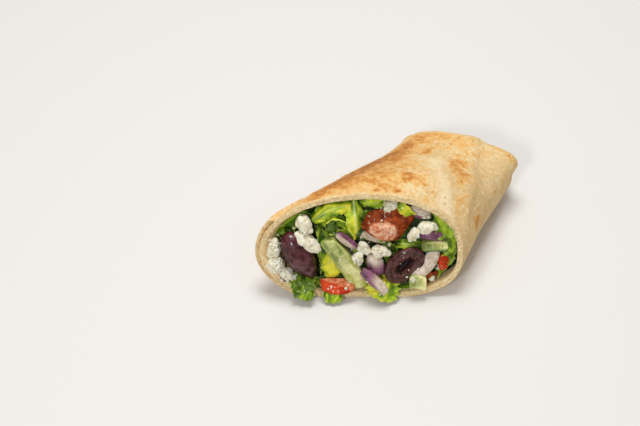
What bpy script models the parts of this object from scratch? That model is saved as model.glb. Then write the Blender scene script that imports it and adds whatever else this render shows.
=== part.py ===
"""Half of a Greek salad wrap, cut on the slant and lying on its side.

A flatbread is rolled round a salad of romaine, tomato, cucumber, Kalamata olive, red onion and feta.
The cut face looks along -Y and leans back; the closed end of the roll points to +X +Y. +Z is up.
Shapes are worked out in millimetres and scaled to metres where a mesh is made.
"""

import math

import bmesh
import bpy
import numpy as np
from mathutils import Vector

MM = 0.001

# The roll, seen from above: where it is widest at the cut and at the closed end.
CUT_RIGHT = np.array([47.6, 8.0])
CUT_LEFT = np.array([-45.2, 8.0])
END_RIGHT = np.array([74.2, 63.5])
END_LEFT = np.array([21.5, 82.4])
END_REACH = 11.0
CUT_LEAN = math.radians(20)
CUT_HEIGHT = 52.2
END_HEIGHT = 32.4
WIDEST_SHARE = 0.44
SIDE_CORNER = 2.45
ORIGIN_SHIFT = np.array([-14.551, -42.742, 0.0])

# The bread.
BREAD = 2.7
FLAP = 3.0
FLAP_TOP = math.radians(149)
FLAP_FOOT = math.radians(268)
FLAP_SINK = math.radians(38)
FLAP_SETBACK = 0.012
GAP = 0.35
SLIVER = 0.01
FLATTEN = 2.0
CAVITY_END = 0.97
FILLING_FRONT = 0.10
TURNS = 36
INNER_RINGS = (0.0, 0.25, 0.5, 0.75, CAVITY_END)

# The salad. Places on the cut face are (right, up the face, out of the face).
LEAF_THICKNESS = 1.1
LEAF_ALONG, LEAF_ACROSS = 7, 4
ONION_ALONG, ONION_ACROSS = 7, 3
TOMATO_EDGE = 0.7

# name: (spine points, width, way the leaf faces, cup, ruffle, waves)
LEAVES = {
    "top_left": (
        [(-20.5, 37, -4), (-17, 43, -0.5), (-10, 46.5, -0.5), (-3.5, 45, -3)],
        7.5, (0, 0.35, 1), -1.2, 0.7, 3,
    ),
    "arch": (
        [(-16, 34.5, -5), (-14, 43, -4), (-4, 42.5, -4), (-0.8, 28.5, -4.5)],
        9.0, (0.1, 1, 0.3), 0.8, 0.5, 2,
    ),
    "under_arch": (
        [(-14, 32, -6.5), (-8, 35.5, -3.5), (-1.5, 29.5, -5.5)],
        7.0, (0, 0.3, 1), 1.0, 0.6, 2,
    ),
    "ribbed": (
        [(-2.4, 48, -6), (-1.6, 43, -1.2), (-1.4, 37, -0.6), (-1, 31, -4.5)],
        8.5, (0.25, 0, 1), -1.2, 0.6, 2,
    ),
    "top_middle": (
        [(0.5, 46, -6), (6, 46.5, -1.5), (13, 46.2, -7)],
        5.5, (0, -0.2, 1), -1.0, 0.6, 2,
    ),
    "curl": (
        [(17.0, 46, -7), (20.2, 44, -1.8), (24.4, 39.4, -4.8)],
        4.8, (0, 0.3, 1), 0.8, 0.5, 2,
    ),
    "shaded": (
        [(24, 43.5, -8), (30, 43.5, -3.5), (36, 37, -8)],
        7.0, (0, 0, 1), 0.9, 0.6, 2,
    ),
    "right_frill": (
        [(33, 42, -6), (38, 38, -0.6), (41.6, 31, -0.6), (42.8, 23.5, -4)],
        8.2, (-0.2, -0.2, 1), 1.0, 1.2, 5,
    ),
    "right_fold": (
        [(42, 29, -6), (43.5, 23, 0), (40.5, 16, -5)],
        6.0, (-0.6, 0, 1), 0.9, 0.9, 3,
    ),
    "dark_centre": (
        [(16, 25.5, -7), (20.5, 30.5, -2.5), (27, 33.5, -7)],
        9.0, (0, 0, 1), -0.8, 0.7, 3,
    ),
    "pale_strip": (
        [(17, 25, -6), (22.5, 27, -1.5), (30, 23.5, -6)],
        4.5, (0, 0.4, 1), 0.6, 0.4, 2,
    ),
    "dark_left": (
        [(-17.5, 36, -6.5), (-16.5, 29, -2.2), (-15.6, 21, -2.2), (-15.5, 10, -5.5)],
        5.6, (0.5, 0, 1), 0.8, 0.5, 3,
    ),
    "behind_feta": (
        [(-35, 29, -7), (-31, 37.5, -3), (-24, 41.5, -7)],
        7.0, (0, 0, 1), 0.8, 0.7, 3,
    ),
    "left_edge": (
        [(-38.5, 27, -7), (-37.5, 32.5, -2), (-32, 35, -7)],
        5.0, (0.3, -0.3, 1), 0.6, 0.5, 2,
    ),
    "yellow_heart": (
        [(-13, 23, -7), (-12.5, 18, 0), (-11, 10.5, -1)],
        10.0, (0, 0.3, 1), -1.2, 0.6, 2,
    ),
    "bed_left": (
        [(-30, 6.5, -7), (-20, 5.6, -1.5), (-8, 5.6, -1.5), (1, 6, -6)],
        7.0, (0, 0.5, 1), 1.0, 0.8, 3,
    ),
    "bed_right": (
        [(2, 6.5, -7), (14, 5.6, -2), (26, 6, -2), (36, 9, -7)],
        7.0, (0, 0.5, 1), 1.0, 0.8, 3,
    ),
    "bed_corner": (
        [(30, 8, -8), (37, 11, -3), (41, 18, -7)],
        6.5, (-0.5, 0.3, 1), 0.9, 0.8, 2,
    ),
    "small_dark": (
        [(0, 18, -7), (2.5, 15.5, -2.5), (4.5, 11, -7)],
        6.0, (0, 0, 1), 0.7, 0.5, 2,
    ),
    "spill_left": (
        [(-27, 13, -6), (-25, 11.5, 3), (-22.5, 7, 5), (-24.5, 1.6, 5.2)],
        9.0, (0, 0.5, 1), -1.2, 1.0, 3,
    ),
    "spill_frill": (
        [(-31, 10, -6), (-28, 9.5, 2.5), (-26.5, 6, 4), (-27.5, 2.2, 4.4)],
        5.5, (0, 0.5, 1), 0.8, 0.9, 3,
    ),
    "spill_middle": (
        [(-11, 8.5, -6), (-11.2, 6.8, 2), (-11.3, 3.4, 4.6), (-11.4, -0.4, 4.8)],
        9.5, (0, 0.5, 1), -0.9, 0.3, 2,
    ),
    "spill_right": (
        [(11, 10, -6), (11.5, 8.5, 2), (12, 4.5, 4.8), (11, 0.6, 4.6)],
        15.5, (0, 0.5, 1), -2.2, 0.7, 3,
    ),
}

# name: (spine points, width, way the piece faces, cup, thickness)
ONIONS = {
    "onion_upper": ([(-9.8, 32.4, -1), (-5.4, 29.4, 1.2), (-0.8, 25.2, -1)], 4.4, (0, 0, 1), -0.6, 2.4),
    "onion_middle": ([(6.4, 21.4, -2.5), (8.2, 16.6, 0.8), (9.9, 11.2, -1.5)], 8.0, (0.1, 0, 1), -1.0, 2.6),
    "onion_front": ([(1.6, 15.8, 3.4), (7.4, 11.8, 5.6), (13.0, 5.8, 6.2)], 5.4, (0.1, 0.3, 1), -0.8, 2.4),
    "onion_right": ([(28, 30.4, -3.5), (34, 33, 0), (40.2, 27.6, -4.5)], 5.2, (0, 0, 1), -0.6, 2.8),
    "onion_white": ([(35, 24, -4), (33.6, 17, 0.6), (24.6, 10.8, 0.4)], 7.0, (-0.2, 0.2, 1), -1.0, 2.8),
    "onion_corner": ([(-35.4, 12.6, -1.5), (-33.6, 10.8, 0), (-31.8, 8.6, -0.5)], 4.0, (0, 0, 1), -0.3, 1.8),
    "onion_pale": ([(1.0, 30.4, -6), (7.4, 30.0, -2.6), (14.4, 26.2, -6)], 5.6, (0, 0, 1), -0.6, 2.4),
    "onion_back": ([(23, 42.4, -6.5), (28.2, 41.4, -3.4), (34.8, 38.2, -6.5)], 6.2, (0, 0.1, 1), -0.6, 2.4),
}

# name: (middle, half length, half width, turn on the face in degrees)
FETA = {
    "feta_upper": ((-24.6, 37.0, -1.2), 5.0, 3.6, -58),
    "feta_wedge": ((-23.0, 28.6, 0.2), 6.8, 3.5, -39),
    "feta_left_high": ((-38.0, 24.6, -1.8), 5.2, 3.2, 84),
    "feta_left_low": ((-37.4, 16.4, -1.2), 4.6, 3.7, -68),
    "feta_left_corner": ((-32.4, 11.6, -1.4), 4.2, 3.1, -24),
    "feta_centre_a": ((-0.7, 19.2, -0.8), 3.8, 2.8, 60),
    "feta_centre_b": ((2.8, 24.2, -2.6), 3.7, 2.8, -30),
    "feta_centre_c": ((10.2, 22.8, -1.6), 4.6, 3.0, -15),
    "feta_right": ((31.2, 35.6, -1.0), 4.7, 3.2, 4),
    "feta_right_low": ((25.2, 31.8, -0.8), 3.6, 2.5, 62),
    "feta_top": ((14.4, 44.8, -4.8), 3.9, 2.9, 20),
}

# name: corners of a cut tomato piece
TOMATOES = {
    "tomato_top": [
        (0.2, 34.8, -3.6), (4.4, 42.4, -3.6), (11.0, 44.2, -4.4), (20.8, 43.4, -5), (27.0, 39.2, -5),
        (18.4, 28.0, -2.6), (12.2, 27.0, -2.2), (5.0, 30.2, -2.6), (6.0, 35.0, 0.6), (17.0, 36.6, 0.8),
        (6.0, 36.0, -12), (19.0, 38.0, -12), (15.0, 31.0, -11),
    ],
    "tomato_low": [
        (-17.8, 10.6, 1.6), (-16.4, 5.2, 3.4), (-11.5, 3.7, 4.4), (-5.5, 3.9, 4.4), (-1.2, 5.7, 3.6),
        (-0.8, 8.8, 2), (-5.0, 10.6, 1), (-14.0, 11.0, 1), (-14.0, 7.0, -5), (-3.5, 7.0, -5),
    ],
    "tomato_right": [
        (36.8, 20.6, -2.6), (40.2, 20.8, -3), (42.2, 17.6, -3.4), (41.0, 13.4, -3), (38.6, 11.6, -2.6),
        (36.6, 15.2, -1.4), (38.6, 17.0, -0.8), (38.0, 19.6, -9), (40.6, 14.0, -9),
    ],
    "tomato_corner": [
        (29.8, 9.6, -3), (33.4, 12.0, -2), (36.8, 12.0, -3), (37.0, 9.8, -3.4), (33.8, 7.2, -2),
        (31.0, 6.4, -3), (32.0, 9.0, -9), (36.0, 10.6, -9),
    ],
}

OLIVE_LEFT_ENDS = ((-33.0, 32.4, -1.4), (-20.2, 10.4, -0.4))
OLIVE_LEFT_RADIUS = 6.4
OLIVE_RIGHT_ENDS = ((13.6, 9.2, 0.6), (28.8, 24.0, 0.2))
OLIVE_RIGHT_RADIUS = 7.1
PIT_DEPTH = 3.2

# name: (middle, half length, half width, half depth, turn on the face in degrees)
CUCUMBERS = {
    "cucumber_long": ((-6.6, 17.6, -1.6), 14.6, 4.1, 3.8, -57),
    "cucumber_right": ((35.0, 24.6, -4.2), 6.2, 2.7, 2.6, 2),
    "cucumber_low": ((27.4, 8.2, -0.6), 4.1, 3.5, 3.6, -6),
}

COLOURS = {
    "bread": ((0.78, 0.58, 0.34), 0.75),
    "lettuce": ((0.16, 0.34, 0.04), 0.45),
    "olive": ((0.07, 0.02, 0.03), 0.25),
    "tomato": ((0.60, 0.08, 0.03), 0.25),
    "cucumber": ((0.52, 0.62, 0.28), 0.35),
    "onion": ((0.55, 0.36, 0.48), 0.35),
    "feta": ((0.86, 0.84, 0.74), 0.65),
}


def clear_scene():
    for old in list(bpy.data.objects):
        bpy.data.objects.remove(old)


def material(name):
    made = bpy.data.materials.get(name)
    if made is None:
        colour, roughness = COLOURS[name]
        made = bpy.data.materials.new(name)
        made.use_nodes = True
        shader = made.node_tree.nodes["Principled BSDF"]
        shader.inputs["Base Color"].default_value = (*colour, 1)
        shader.inputs["Roughness"].default_value = roughness
        shader.inputs["Metallic"].default_value = 0
    return made


def add_object(name, points, faces, finish, parent=None, centre=(0, 0, 0)):
    """A mesh object from points in millimetres, with its origin at centre."""
    mesh = bpy.data.meshes.new(name)
    local = (np.asarray(points, float) - np.asarray(centre, float)) * MM
    mesh.from_pydata(local.tolist(), [], [tuple(int(i) for i in f) for f in faces])
    mesh.update()
    mesh.materials.append(material(finish))
    made = bpy.data.objects.new(name, mesh)
    bpy.context.scene.collection.objects.link(made)
    made.location = Vector(centre) * MM
    made.parent = parent
    return made


def add_cut_face():
    """The frame of the cut face: X to the right, Y up the leaning face, Z out of it."""
    face = bpy.data.objects.new("cut_face", None)
    bpy.context.scene.collection.objects.link(face)
    face.location = Vector(ORIGIN_SHIFT) * MM
    face.rotation_euler = (math.pi / 2 - CUT_LEAN, 0, 0)
    return face


def smooth_step(t):
    t = np.clip(t, 0, 1)
    return t * t * (3 - 2 * t)


def bump(value, middle, width):
    return np.exp(-(((value - middle) / width) ** 2))


def roll_surface(along, turn, grow=0.0, flap=True):
    """Points on the roll. along is 0 at the cut, 1 where the end starts to round and 2 at its tip.
    turn goes round the section from the right over the top; grow moves the surface outwards.
    The flap's free edge sinks down the left side towards the end, and turn is stretched to follow it."""
    flap_edge = turn > FLAP_TOP
    lap_share = smooth_step((FLAP_FOOT - turn) / math.radians(30))
    stretch = np.interp(turn, [0, FLAP_TOP, FLAP_FOOT, 2 * math.pi], [0, 1, 0, 0])
    turn = turn + FLAP_SINK * smooth_step(along) * stretch
    body, cap = np.clip(along, 0, 1), np.clip(along - 1, 0, 1) * math.pi / 2
    right = CUT_RIGHT + body[..., None] * (END_RIGHT - CUT_RIGHT)
    left = CUT_LEFT + body[..., None] * (END_LEFT - CUT_LEFT)
    middle, half = (right + left) / 2, (right - left) / 2
    width = np.linalg.norm(half, axis=-1)
    across = half / width[..., None]
    ahead = np.stack([-across[..., 1], across[..., 0]], -1)
    lean = CUT_LEAN * (1 - smooth_step(body / 0.5))
    top = CUT_HEIGHT - (CUT_HEIGHT - END_HEIGHT) * smooth_step((body - 0.15) / 0.85)
    widest = WIDEST_SHARE * top
    c, s = np.cos(turn), np.sin(turn)

    push = np.full(np.broadcast(along, turn).shape, float(grow))
    if flap:
        thin = 1 - 0.65 * smooth_step(along)
        push = push + FLAP * flap_edge * lap_share * thin * (along > FLAP_SETBACK) * np.cos(cap)
    dents = 0.7 * np.sin(7 * body + 3 * c) * np.sin(2.3 * turn + 4 * body)
    ear = 4.4 * bump(turn, math.radians(30), math.radians(22)) * bump(along, 1.2, 0.35)
    ridge = 1.4 * bump(turn, np.radians(12 + 62 * body), math.radians(9)) * smooth_step(body / 0.2)
    push = push + (dents + ridge + ear) * smooth_step(body / 0.15) * smooth_step(s / 0.3)

    corner = SIDE_CORNER + 0.35 * c
    x = np.where(s >= 0, c, np.sign(c) * np.abs(c) ** (2 / corner))
    x = x * (width + push) * (1 - 0.28 * (1 - np.cos(cap)))
    over = widest + (top + push - widest) * np.abs(s) ** 0.92 * (1 + 0.06 * c * (1 - body))
    under = widest - (widest + push) * 1.06 * np.abs(s) ** (2 / corner)
    up = np.where(s >= 0, over, np.maximum(under, np.minimum(-push, 0) if grow >= 0 else -grow))
    up = np.maximum(up, -max(grow, 0.0))
    up = widest * 0.7 + (up - widest * 0.7) * np.cos(cap)
    back = (up - widest) * np.sin(lean) + np.sin(cap) * (END_REACH + grow)

    points = np.empty(np.broadcast(along, turn).shape + (3,))
    points[..., 0] = middle[..., 0] + across[..., 0] * x + ahead[..., 0] * back
    points[..., 1] = middle[..., 1] + across[..., 1] * x + ahead[..., 1] * back
    points[..., 2] = up * np.cos(lean)
    return points + ORIGIN_SHIFT


def ring_faces(rings, count, first=0):
    """Triangles between rings of count points each, the rings one after another."""
    faces = []
    for ring in range(rings - 1):
        for i in range(count):
            a, b = first + ring * count + i, first + ring * count + (i + 1) % count
            faces += [(a, b, b + count), (a, b + count, a + count)]
    return faces


def closed_rings(rings, start, end):
    """(points, triangles) of a skin over rings, closed with a point at both ends."""
    rings = np.asarray(rings, float)
    n, count = rings.shape[:2]
    points = np.vstack([rings.reshape(-1, 3), start, end])
    faces = ring_faces(n, count)
    first, last, base = n * count, n * count + 1, (n - 1) * count
    for i in range(count):
        j = (i + 1) % count
        faces += [(j, i, first), (base + i, base + j, last)]
    return points, faces


def face_outwards(made):
    shape = bmesh.new()
    shape.from_mesh(made.data)
    bmesh.ops.recalc_face_normals(shape, faces=shape.faces)
    shape.to_mesh(made.data)
    shape.free()
    return made


def turns_round():
    """The angles round a section, with a close pair where the flap's free edge steps down."""
    even = np.linspace(0, 2 * math.pi, TURNS, endpoint=False)
    even = even[np.abs(even - FLAP_TOP) > math.radians(3)]
    edge = FLAP_TOP + np.array([-1, 1]) * math.radians(0.8)
    return np.sort(np.concatenate([even, edge]))


def flatbread(name, grow=0.0):
    """The bread: an outer skin, a flat cut rim, and the wall of the cavity that the salad fills."""
    turn = turns_round()
    outside = [0.0, FLAP_SETBACK - 0.002, FLAP_SETBACK + 0.002]
    outside += [0.09, 0.2, 0.32, 0.44, 0.56, 0.68, 0.8, 0.92, 1.08, 1.25, 1.42, 1.6, 1.8]
    inside = [*INNER_RINGS[:-1], CAVITY_END + (0.02 if grow == 0 else 0.01)]
    outer = [roll_surface(np.full_like(turn, a), turn, grow) for a in outside]
    inner = [roll_surface(np.full_like(turn, a), turn, -BREAD - grow, flap=False) for a in reversed(inside)]
    out_of_face = np.array([0, -math.cos(CUT_LEAN), math.sin(CUT_LEAN)])
    outer[0] = outer[0] + out_of_face * grow
    inner[-1] = inner[-1] + out_of_face * grow
    rings = inner + outer
    start, end = inner[0].mean(0), outer[-1].mean(0)
    points, faces = closed_rings(rings, start, end)
    return face_outwards(add_object(name, points, faces, "bread"))


def salad_core(name):
    """The bulk of the salad, which fills the bread to its closed end."""
    turn = turns_round()
    along = [FILLING_FRONT, *INNER_RINGS[1:-1], CAVITY_END]
    rings = [roll_surface(np.full_like(turn, a), turn, -BREAD - 2 * GAP, flap=False) for a in along]
    start = rings[0].mean(0)
    points, faces = closed_rings(rings, start, rings[-1].mean(0))
    return face_outwards(add_object(name, points, faces, "lettuce"))


def bezier(controls, t):
    """A Bezier curve of any degree through its first and last control point."""
    controls, degree = np.asarray(controls, float), len(controls) - 1
    return sum(
        math.comb(degree, k) * ((1 - t) ** (degree - k) * t**k)[:, None] * controls[k]
        for k in range(degree + 1)
    )


def unit(v):
    return v / np.linalg.norm(v, axis=-1, keepdims=True)


def bent_plate(spine, width, facing, cup, ruffle, waves, thickness, along=LEAF_ALONG, across=LEAF_ACROSS):
    """A thin curved solid: a strip that follows the spine, cupped across and ruffled along its edges.
    Both faces are split into triangles alike."""
    t = np.linspace(0, 1, along)
    line = bezier(spine, t)
    ahead = unit(np.gradient(line, axis=0))
    side = unit(np.cross(ahead, unit(np.asarray(facing, float))))
    normal = np.cross(side, ahead)
    u = np.linspace(-1, 1, across)
    reach = width / 2 * (0.62 + 0.38 * np.sin(math.pi * t) ** 0.7)
    tt, uu = np.meshgrid(t, u, indexing="ij")
    lift = cup * uu**2 + ruffle * uu * np.abs(uu) * np.sin(2 * math.pi * waves * tt)
    flat = line[:, None] + side[:, None] * (reach[:, None] * uu)[..., None]
    sheet = flat + normal[:, None] * lift[..., None]
    upper = sheet + normal[:, None] * thickness / 2
    lower = sheet - normal[:, None] * thickness / 2
    points = np.vstack([upper.reshape(-1, 3), lower.reshape(-1, 3)])
    size = along * across
    faces = []
    for i in range(along - 1):
        for j in range(across - 1):
            a = i * across + j
            b, c, d = a + 1, a + across + 1, a + across
            faces += [(a, b, c), (a, c, d), (size + a, size + c, size + b), (size + a, size + d, size + c)]
    rim = list(range(across))
    rim += [i * across + across - 1 for i in range(1, along)]
    rim += [(along - 1) * across + j for j in range(across - 2, -1, -1)]
    rim += [i * across for i in range(along - 2, 0, -1)]
    for a, b in zip(rim, rim[1:] + rim[:1]):
        faces += [(a, a + size, b + size), (a, b + size, b)]
    return points, faces


def add_plate(name, face, finish, *shape):
    points, faces = bent_plate(*shape)
    return face_outwards(add_object(name, points, faces, finish, face, points.mean(0)))


def hull(points, flatten=math.radians(1)):
    """The smallest bulging-out solid round some points, with faces that are nearly in line made one."""
    shape = bmesh.new()
    for point in points:
        shape.verts.new(point)
    made = bmesh.ops.convex_hull(shape, input=shape.verts)
    spare = {g for g in made["geom_interior"] + made["geom_unused"] if isinstance(g, bmesh.types.BMVert)}
    bmesh.ops.delete(shape, geom=list(spare), context="VERTS")
    bmesh.ops.dissolve_limit(shape, angle_limit=flatten, verts=shape.verts[:], edges=shape.edges[:])
    bmesh.ops.triangulate(shape, faces=shape.faces[:])
    bmesh.ops.recalc_face_normals(shape, faces=shape.faces)
    return shape


def olive_frame(ends):
    """(middle, half length, and the three directions) of an olive between its ends."""
    a, b = (np.asarray(e, float) for e in ends)
    ahead = unit(b - a)
    side = unit(np.cross(ahead, [0, 0, 1.0]))
    return (a + b) / 2, np.linalg.norm(b - a) / 2, ahead, side, np.cross(side, ahead)


def whole_olive(name, face):
    """A Kalamata olive: round at the stalk and drawn out to a point."""
    middle, half, ahead, side, out = olive_frame(OLIVE_LEFT_ENDS)
    angle = np.linspace(0, 2 * math.pi, 12, endpoint=False)
    ways = np.cos(angle)[:, None] * side + np.sin(angle)[:, None] * out
    rings = []
    for t in np.cos(np.linspace(math.pi, 0, 10)[1:-1]):
        radius = OLIVE_LEFT_RADIUS * math.sqrt(1 - t * t) * (1 - 0.2 * max(t, 0) ** 2) * (1 - 0.08 * t)
        rings.append(middle + ahead * half * t + radius * ways)
    points, faces = closed_rings(rings, middle - ahead * half, middle + ahead * half)
    return face_outwards(add_object(name, points, faces, "olive", face, middle))


def halved_olive(name, face):
    """Half an olive, its cut side out, with the hollow that the stone left."""
    middle, half, ahead, side, out = olive_frame(OLIVE_RIGHT_ENDS)
    angle = np.linspace(0, 2 * math.pi, 14, endpoint=False)
    shares = [0.2, 0.4, 0.68, 0.92, 1.0]
    rings = []
    for share in shares:
        a, b = half * share * np.cos(angle), OLIVE_RIGHT_RADIUS * share * np.sin(angle)
        hollow = PIT_DEPTH * np.exp(-((a / 5.2) ** 2) - (b / 1.9) ** 2)
        rise = 1.6 * (1 - share**2) - hollow
        rings.append(middle + a[:, None] * ahead + b[:, None] * side + rise[:, None] * out)
    for deep in np.radians([30, 55, 78]):
        a, b = half * np.cos(deep) * np.cos(angle), OLIVE_RIGHT_RADIUS * np.cos(deep) * np.sin(angle)
        rings.append(middle + a[:, None] * ahead + b[:, None] * side - out * 7.0 * math.sin(deep))
    points, faces = closed_rings(rings, middle + out * (1.6 - PIT_DEPTH), middle - out * 7.2)
    return face_outwards(add_object(name, points, faces, "olive", face, middle))


def tomato_piece(name, face, corners):
    """A cut piece of tomato: the hull of its corners, with softened edges."""
    shape = hull(corners)
    edges = shape.edges[:]
    bmesh.ops.bevel(
        shape, geom=edges, offset=TOMATO_EDGE, segments=1, profile=0.6, affect="EDGES", clamp_overlap=True,
    )
    bmesh.ops.triangulate(shape, faces=shape.faces[:])
    bmesh.ops.remove_doubles(shape, verts=shape.verts, dist=0.05)
    shape.verts.index_update()
    points = np.array([v.co for v in shape.verts])
    faces = [[v.index for v in f.verts] for f in shape.faces]
    shape.free()
    return face_outwards(add_object(name, points, faces, "tomato", face, points.mean(0)))


def cucumber_piece(name, face, middle, half_length, half_width, half_depth, turn):
    """A cut piece of cucumber: a block with rounded edges that is a little bowed."""
    angle = np.linspace(0, 2 * math.pi, 12, endpoint=False)

    def round_box(v):
        return np.sign(v) * np.abs(v) ** 0.45

    rings = []
    for t in (-0.97, -0.88, -0.6, -0.2, 0.2, 0.6, 0.88, 0.97):
        inset = (1 - abs(t) ** 9) ** 0.5
        bow = 0.12 * half_width * (1 - t * t) * 2
        rings.append(np.stack([
            np.full_like(angle, half_length * t),
            half_width * inset * round_box(np.cos(angle)) + bow,
            half_depth * inset * round_box(np.sin(angle)),
        ], -1))
    rings = np.array(rings)
    crown = np.array([half_length * 0.02, 0, 0])
    points, faces = closed_rings(rings, rings[0].mean(0) - crown, rings[-1].mean(0) + crown)
    made = face_outwards(add_object(name, points, faces, "cucumber", face))
    made.location = Vector(middle) * MM
    made.rotation_euler = (0, 0, math.radians(turn))
    return made


def feta_piece(name, face, middle, half_length, half_width, turn, seed):
    """A crumb of feta: a drawn-out ball with an uneven, broken surface."""
    shape = bmesh.new()
    bmesh.ops.create_icosphere(shape, subdivisions=2, radius=1.0)
    draw = np.random.default_rng(seed)
    for vertex in shape.verts:
        vertex.co *= float(draw.uniform(0.84, 1.12))
        vertex.co.x *= half_length
        vertex.co.y *= half_width * (1 - 0.2 * vertex.co.x / half_length)
        vertex.co.z *= half_width * 0.9
    shape.verts.index_update()
    points = [v.co for v in shape.verts]
    faces = [[v.index for v in f.verts] for f in shape.faces]
    made = face_outwards(add_object(name, points, faces, "feta", face))
    shape.free()
    made.location = Vector(middle) * MM
    made.rotation_euler = (0, 0, math.radians(turn))
    return made


def settle(made):
    """Replaces the object's mesh with what its modifiers give, as one closed body."""
    bpy.context.view_layer.update()
    result = bpy.data.meshes.new_from_object(made.evaluated_get(bpy.context.evaluated_depsgraph_get()))
    made.modifiers.clear()
    made.data = result
    shape = bmesh.new()
    shape.from_mesh(result)
    keep_largest(shape)
    in_line = math.radians(FLATTEN)
    bmesh.ops.dissolve_limit(shape, angle_limit=in_line, verts=shape.verts[:], edges=shape.edges[:])
    bmesh.ops.triangulate(shape, faces=shape.faces[:])
    mend(shape)
    shape.to_mesh(result)
    shape.free()
    return made


def mend(shape):
    """Collapses slivers, and closes again any spot where that leaves the surface open or doubled."""
    for _ in range(5):
        bmesh.ops.dissolve_degenerate(shape, dist=SLIVER * MM, edges=shape.edges[:])
        bmesh.ops.triangulate(shape, faces=shape.faces[:])
        torn = {v for edge in shape.edges if len(edge.link_faces) != 2 for v in edge.verts}
        if not torn:
            return
        bmesh.ops.delete(shape, geom=list({f for v in torn for f in v.link_faces}), context="FACES")
        bmesh.ops.delete(shape, geom=[e for e in shape.edges if not e.link_faces], context="EDGES")
        bmesh.ops.delete(shape, geom=[v for v in shape.verts if not v.link_edges], context="VERTS")
        bmesh.ops.holes_fill(shape, edges=[e for e in shape.edges if len(e.link_faces) == 1], sides=0)
        bmesh.ops.triangulate(shape, faces=shape.faces[:])


def six_volumes(body):
    """Six times the volume inside a closed body of triangles."""
    return sum(f.verts[0].co.dot(f.verts[1].co.cross(f.verts[2].co)) for f in body)


def keep_largest(shape):
    """Drops loose scraps and fills sealed hollows: only the body of largest volume stays."""
    unseen, bodies = set(shape.faces), []
    while unseen:
        stack, body = [unseen.pop()], []
        while stack:
            face = stack.pop()
            body.append(face)
            near = {n for edge in face.edges for n in edge.link_faces} & unseen
            unseen -= near
            stack.extend(near)
        bodies.append(body)
    if len(bodies) > 1:
        stay = set(max(bodies, key=six_volumes))
        bmesh.ops.delete(shape, geom=[f for f in shape.faces if f not in stay], context="FACES")
        bmesh.ops.delete(shape, geom=[v for v in shape.verts if not v.link_faces], context="VERTS")


def boolean(made, other, operation):
    step = made.modifiers.new("join_or_cut", "BOOLEAN")
    step.operation = operation
    step.object = other
    step.solver = "MANIFOLD"


def fuse(base, others):
    """Joins the others to base with one Boolean union on a collection."""
    group = bpy.data.collections.new(base.name + "_joined")
    bpy.context.scene.collection.children.link(group)
    for other in others:
        group.objects.link(other)
    step = base.modifiers.new("join", "BOOLEAN")
    step.operation = "UNION"
    step.operand_type = "COLLECTION"
    step.collection = group
    step.solver = "MANIFOLD"
    settle(base)
    for other in others:
        bpy.data.objects.remove(other)
    bpy.data.collections.remove(group)
    return base


def room_round(made):
    """A plain hull round a piece that leaves the gap that touching pieces keep."""
    shape = hull([v.co + v.normal * GAP * MM * 1.4 for v in made.data.vertices], math.radians(6))
    room = made.copy()
    room.data = bpy.data.meshes.new(made.name + "_room")
    room.name = made.name + "_room"
    shape.to_mesh(room.data)
    shape.free()
    bpy.context.scene.collection.objects.link(room)
    return room


def world_box(made):
    corners = np.array([made.matrix_world @ Vector(c) for c in made.bound_box])
    return corners.min(0), corners.max(0)


def near(a, b):
    (low_a, high_a), (low_b, high_b) = world_box(a), world_box(b)
    return bool((low_a < high_b).all() and (low_b < high_a).all())


def carve(made, cutters):
    """Cuts room for each near piece out of made."""
    cuts = [c for c in cutters if near(made, c)]
    for cutter in cuts:
        boolean(made, cutter, "DIFFERENCE")
    return settle(made) if cuts else made


def onion_piece(name, face):
    """A cut strip of onion: a thick plate with no ruffle."""
    spine, width, facing, cup, thickness = ONIONS[name]
    shape = (spine, width, facing, cup, 0.0, 0, thickness, ONION_ALONG, ONION_ACROSS)
    return add_plate(name, face, "onion", *shape)


def add_pieces(face):
    """The separate pieces of the salad, those in front first, each cut clear of the ones before it."""
    pieces = [
        whole_olive("olive_left", face),
        halved_olive("olive_right", face),
        onion_piece("onion_front", face),
    ]
    pieces += [cucumber_piece(name, face, *shape) for name, shape in CUCUMBERS.items()]
    pieces += [tomato_piece(name, face, corners) for name, corners in TOMATOES.items()]
    pieces += [onion_piece(name, face) for name in ONIONS if name != "onion_front"]
    pieces += [feta_piece(name, face, *shape, seed) for seed, (name, shape) in enumerate(FETA.items())]
    return pieces


def build():
    clear_scene()
    face = add_cut_face()
    flatbread("tortilla")
    bpy.context.view_layer.update()
    rooms = [flatbread("tortilla_room", GAP)]
    for piece in add_pieces(face):
        bpy.context.view_layer.update()
        carve(piece, rooms)
        bpy.context.view_layer.update()
        rooms.append(room_round(piece))
    bpy.context.view_layer.update()
    leaves = [
        add_plate("leaf_" + name, face, "lettuce", *shape, LEAF_THICKNESS)
        for name, shape in LEAVES.items()
    ]
    core = fuse(salad_core("romaine"), leaves)
    bpy.context.view_layer.update()
    carve(core, rooms)
    for room in rooms:
        bpy.data.objects.remove(room)


build()
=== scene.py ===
"""Half of a Greek salad wrap, cut on the slant and lying on its side.

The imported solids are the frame. Each has a finer surface here that stands for it: the toasted flatbread,
the romaine leaves, and the pieces of olive, tomato, cucumber, red onion and feta that show at the cut.
Loose scraps of leaf, the shaded salad behind and small crumbs of feta come on top and stand for no solid.
Shapes are worked out in millimetres. Places on the cut face are (right, up the face, out of the face).
"""

import math

import bmesh
import bpy
import numpy as np
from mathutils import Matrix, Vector
from mathutils.bvhtree import BVHTree


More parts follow.
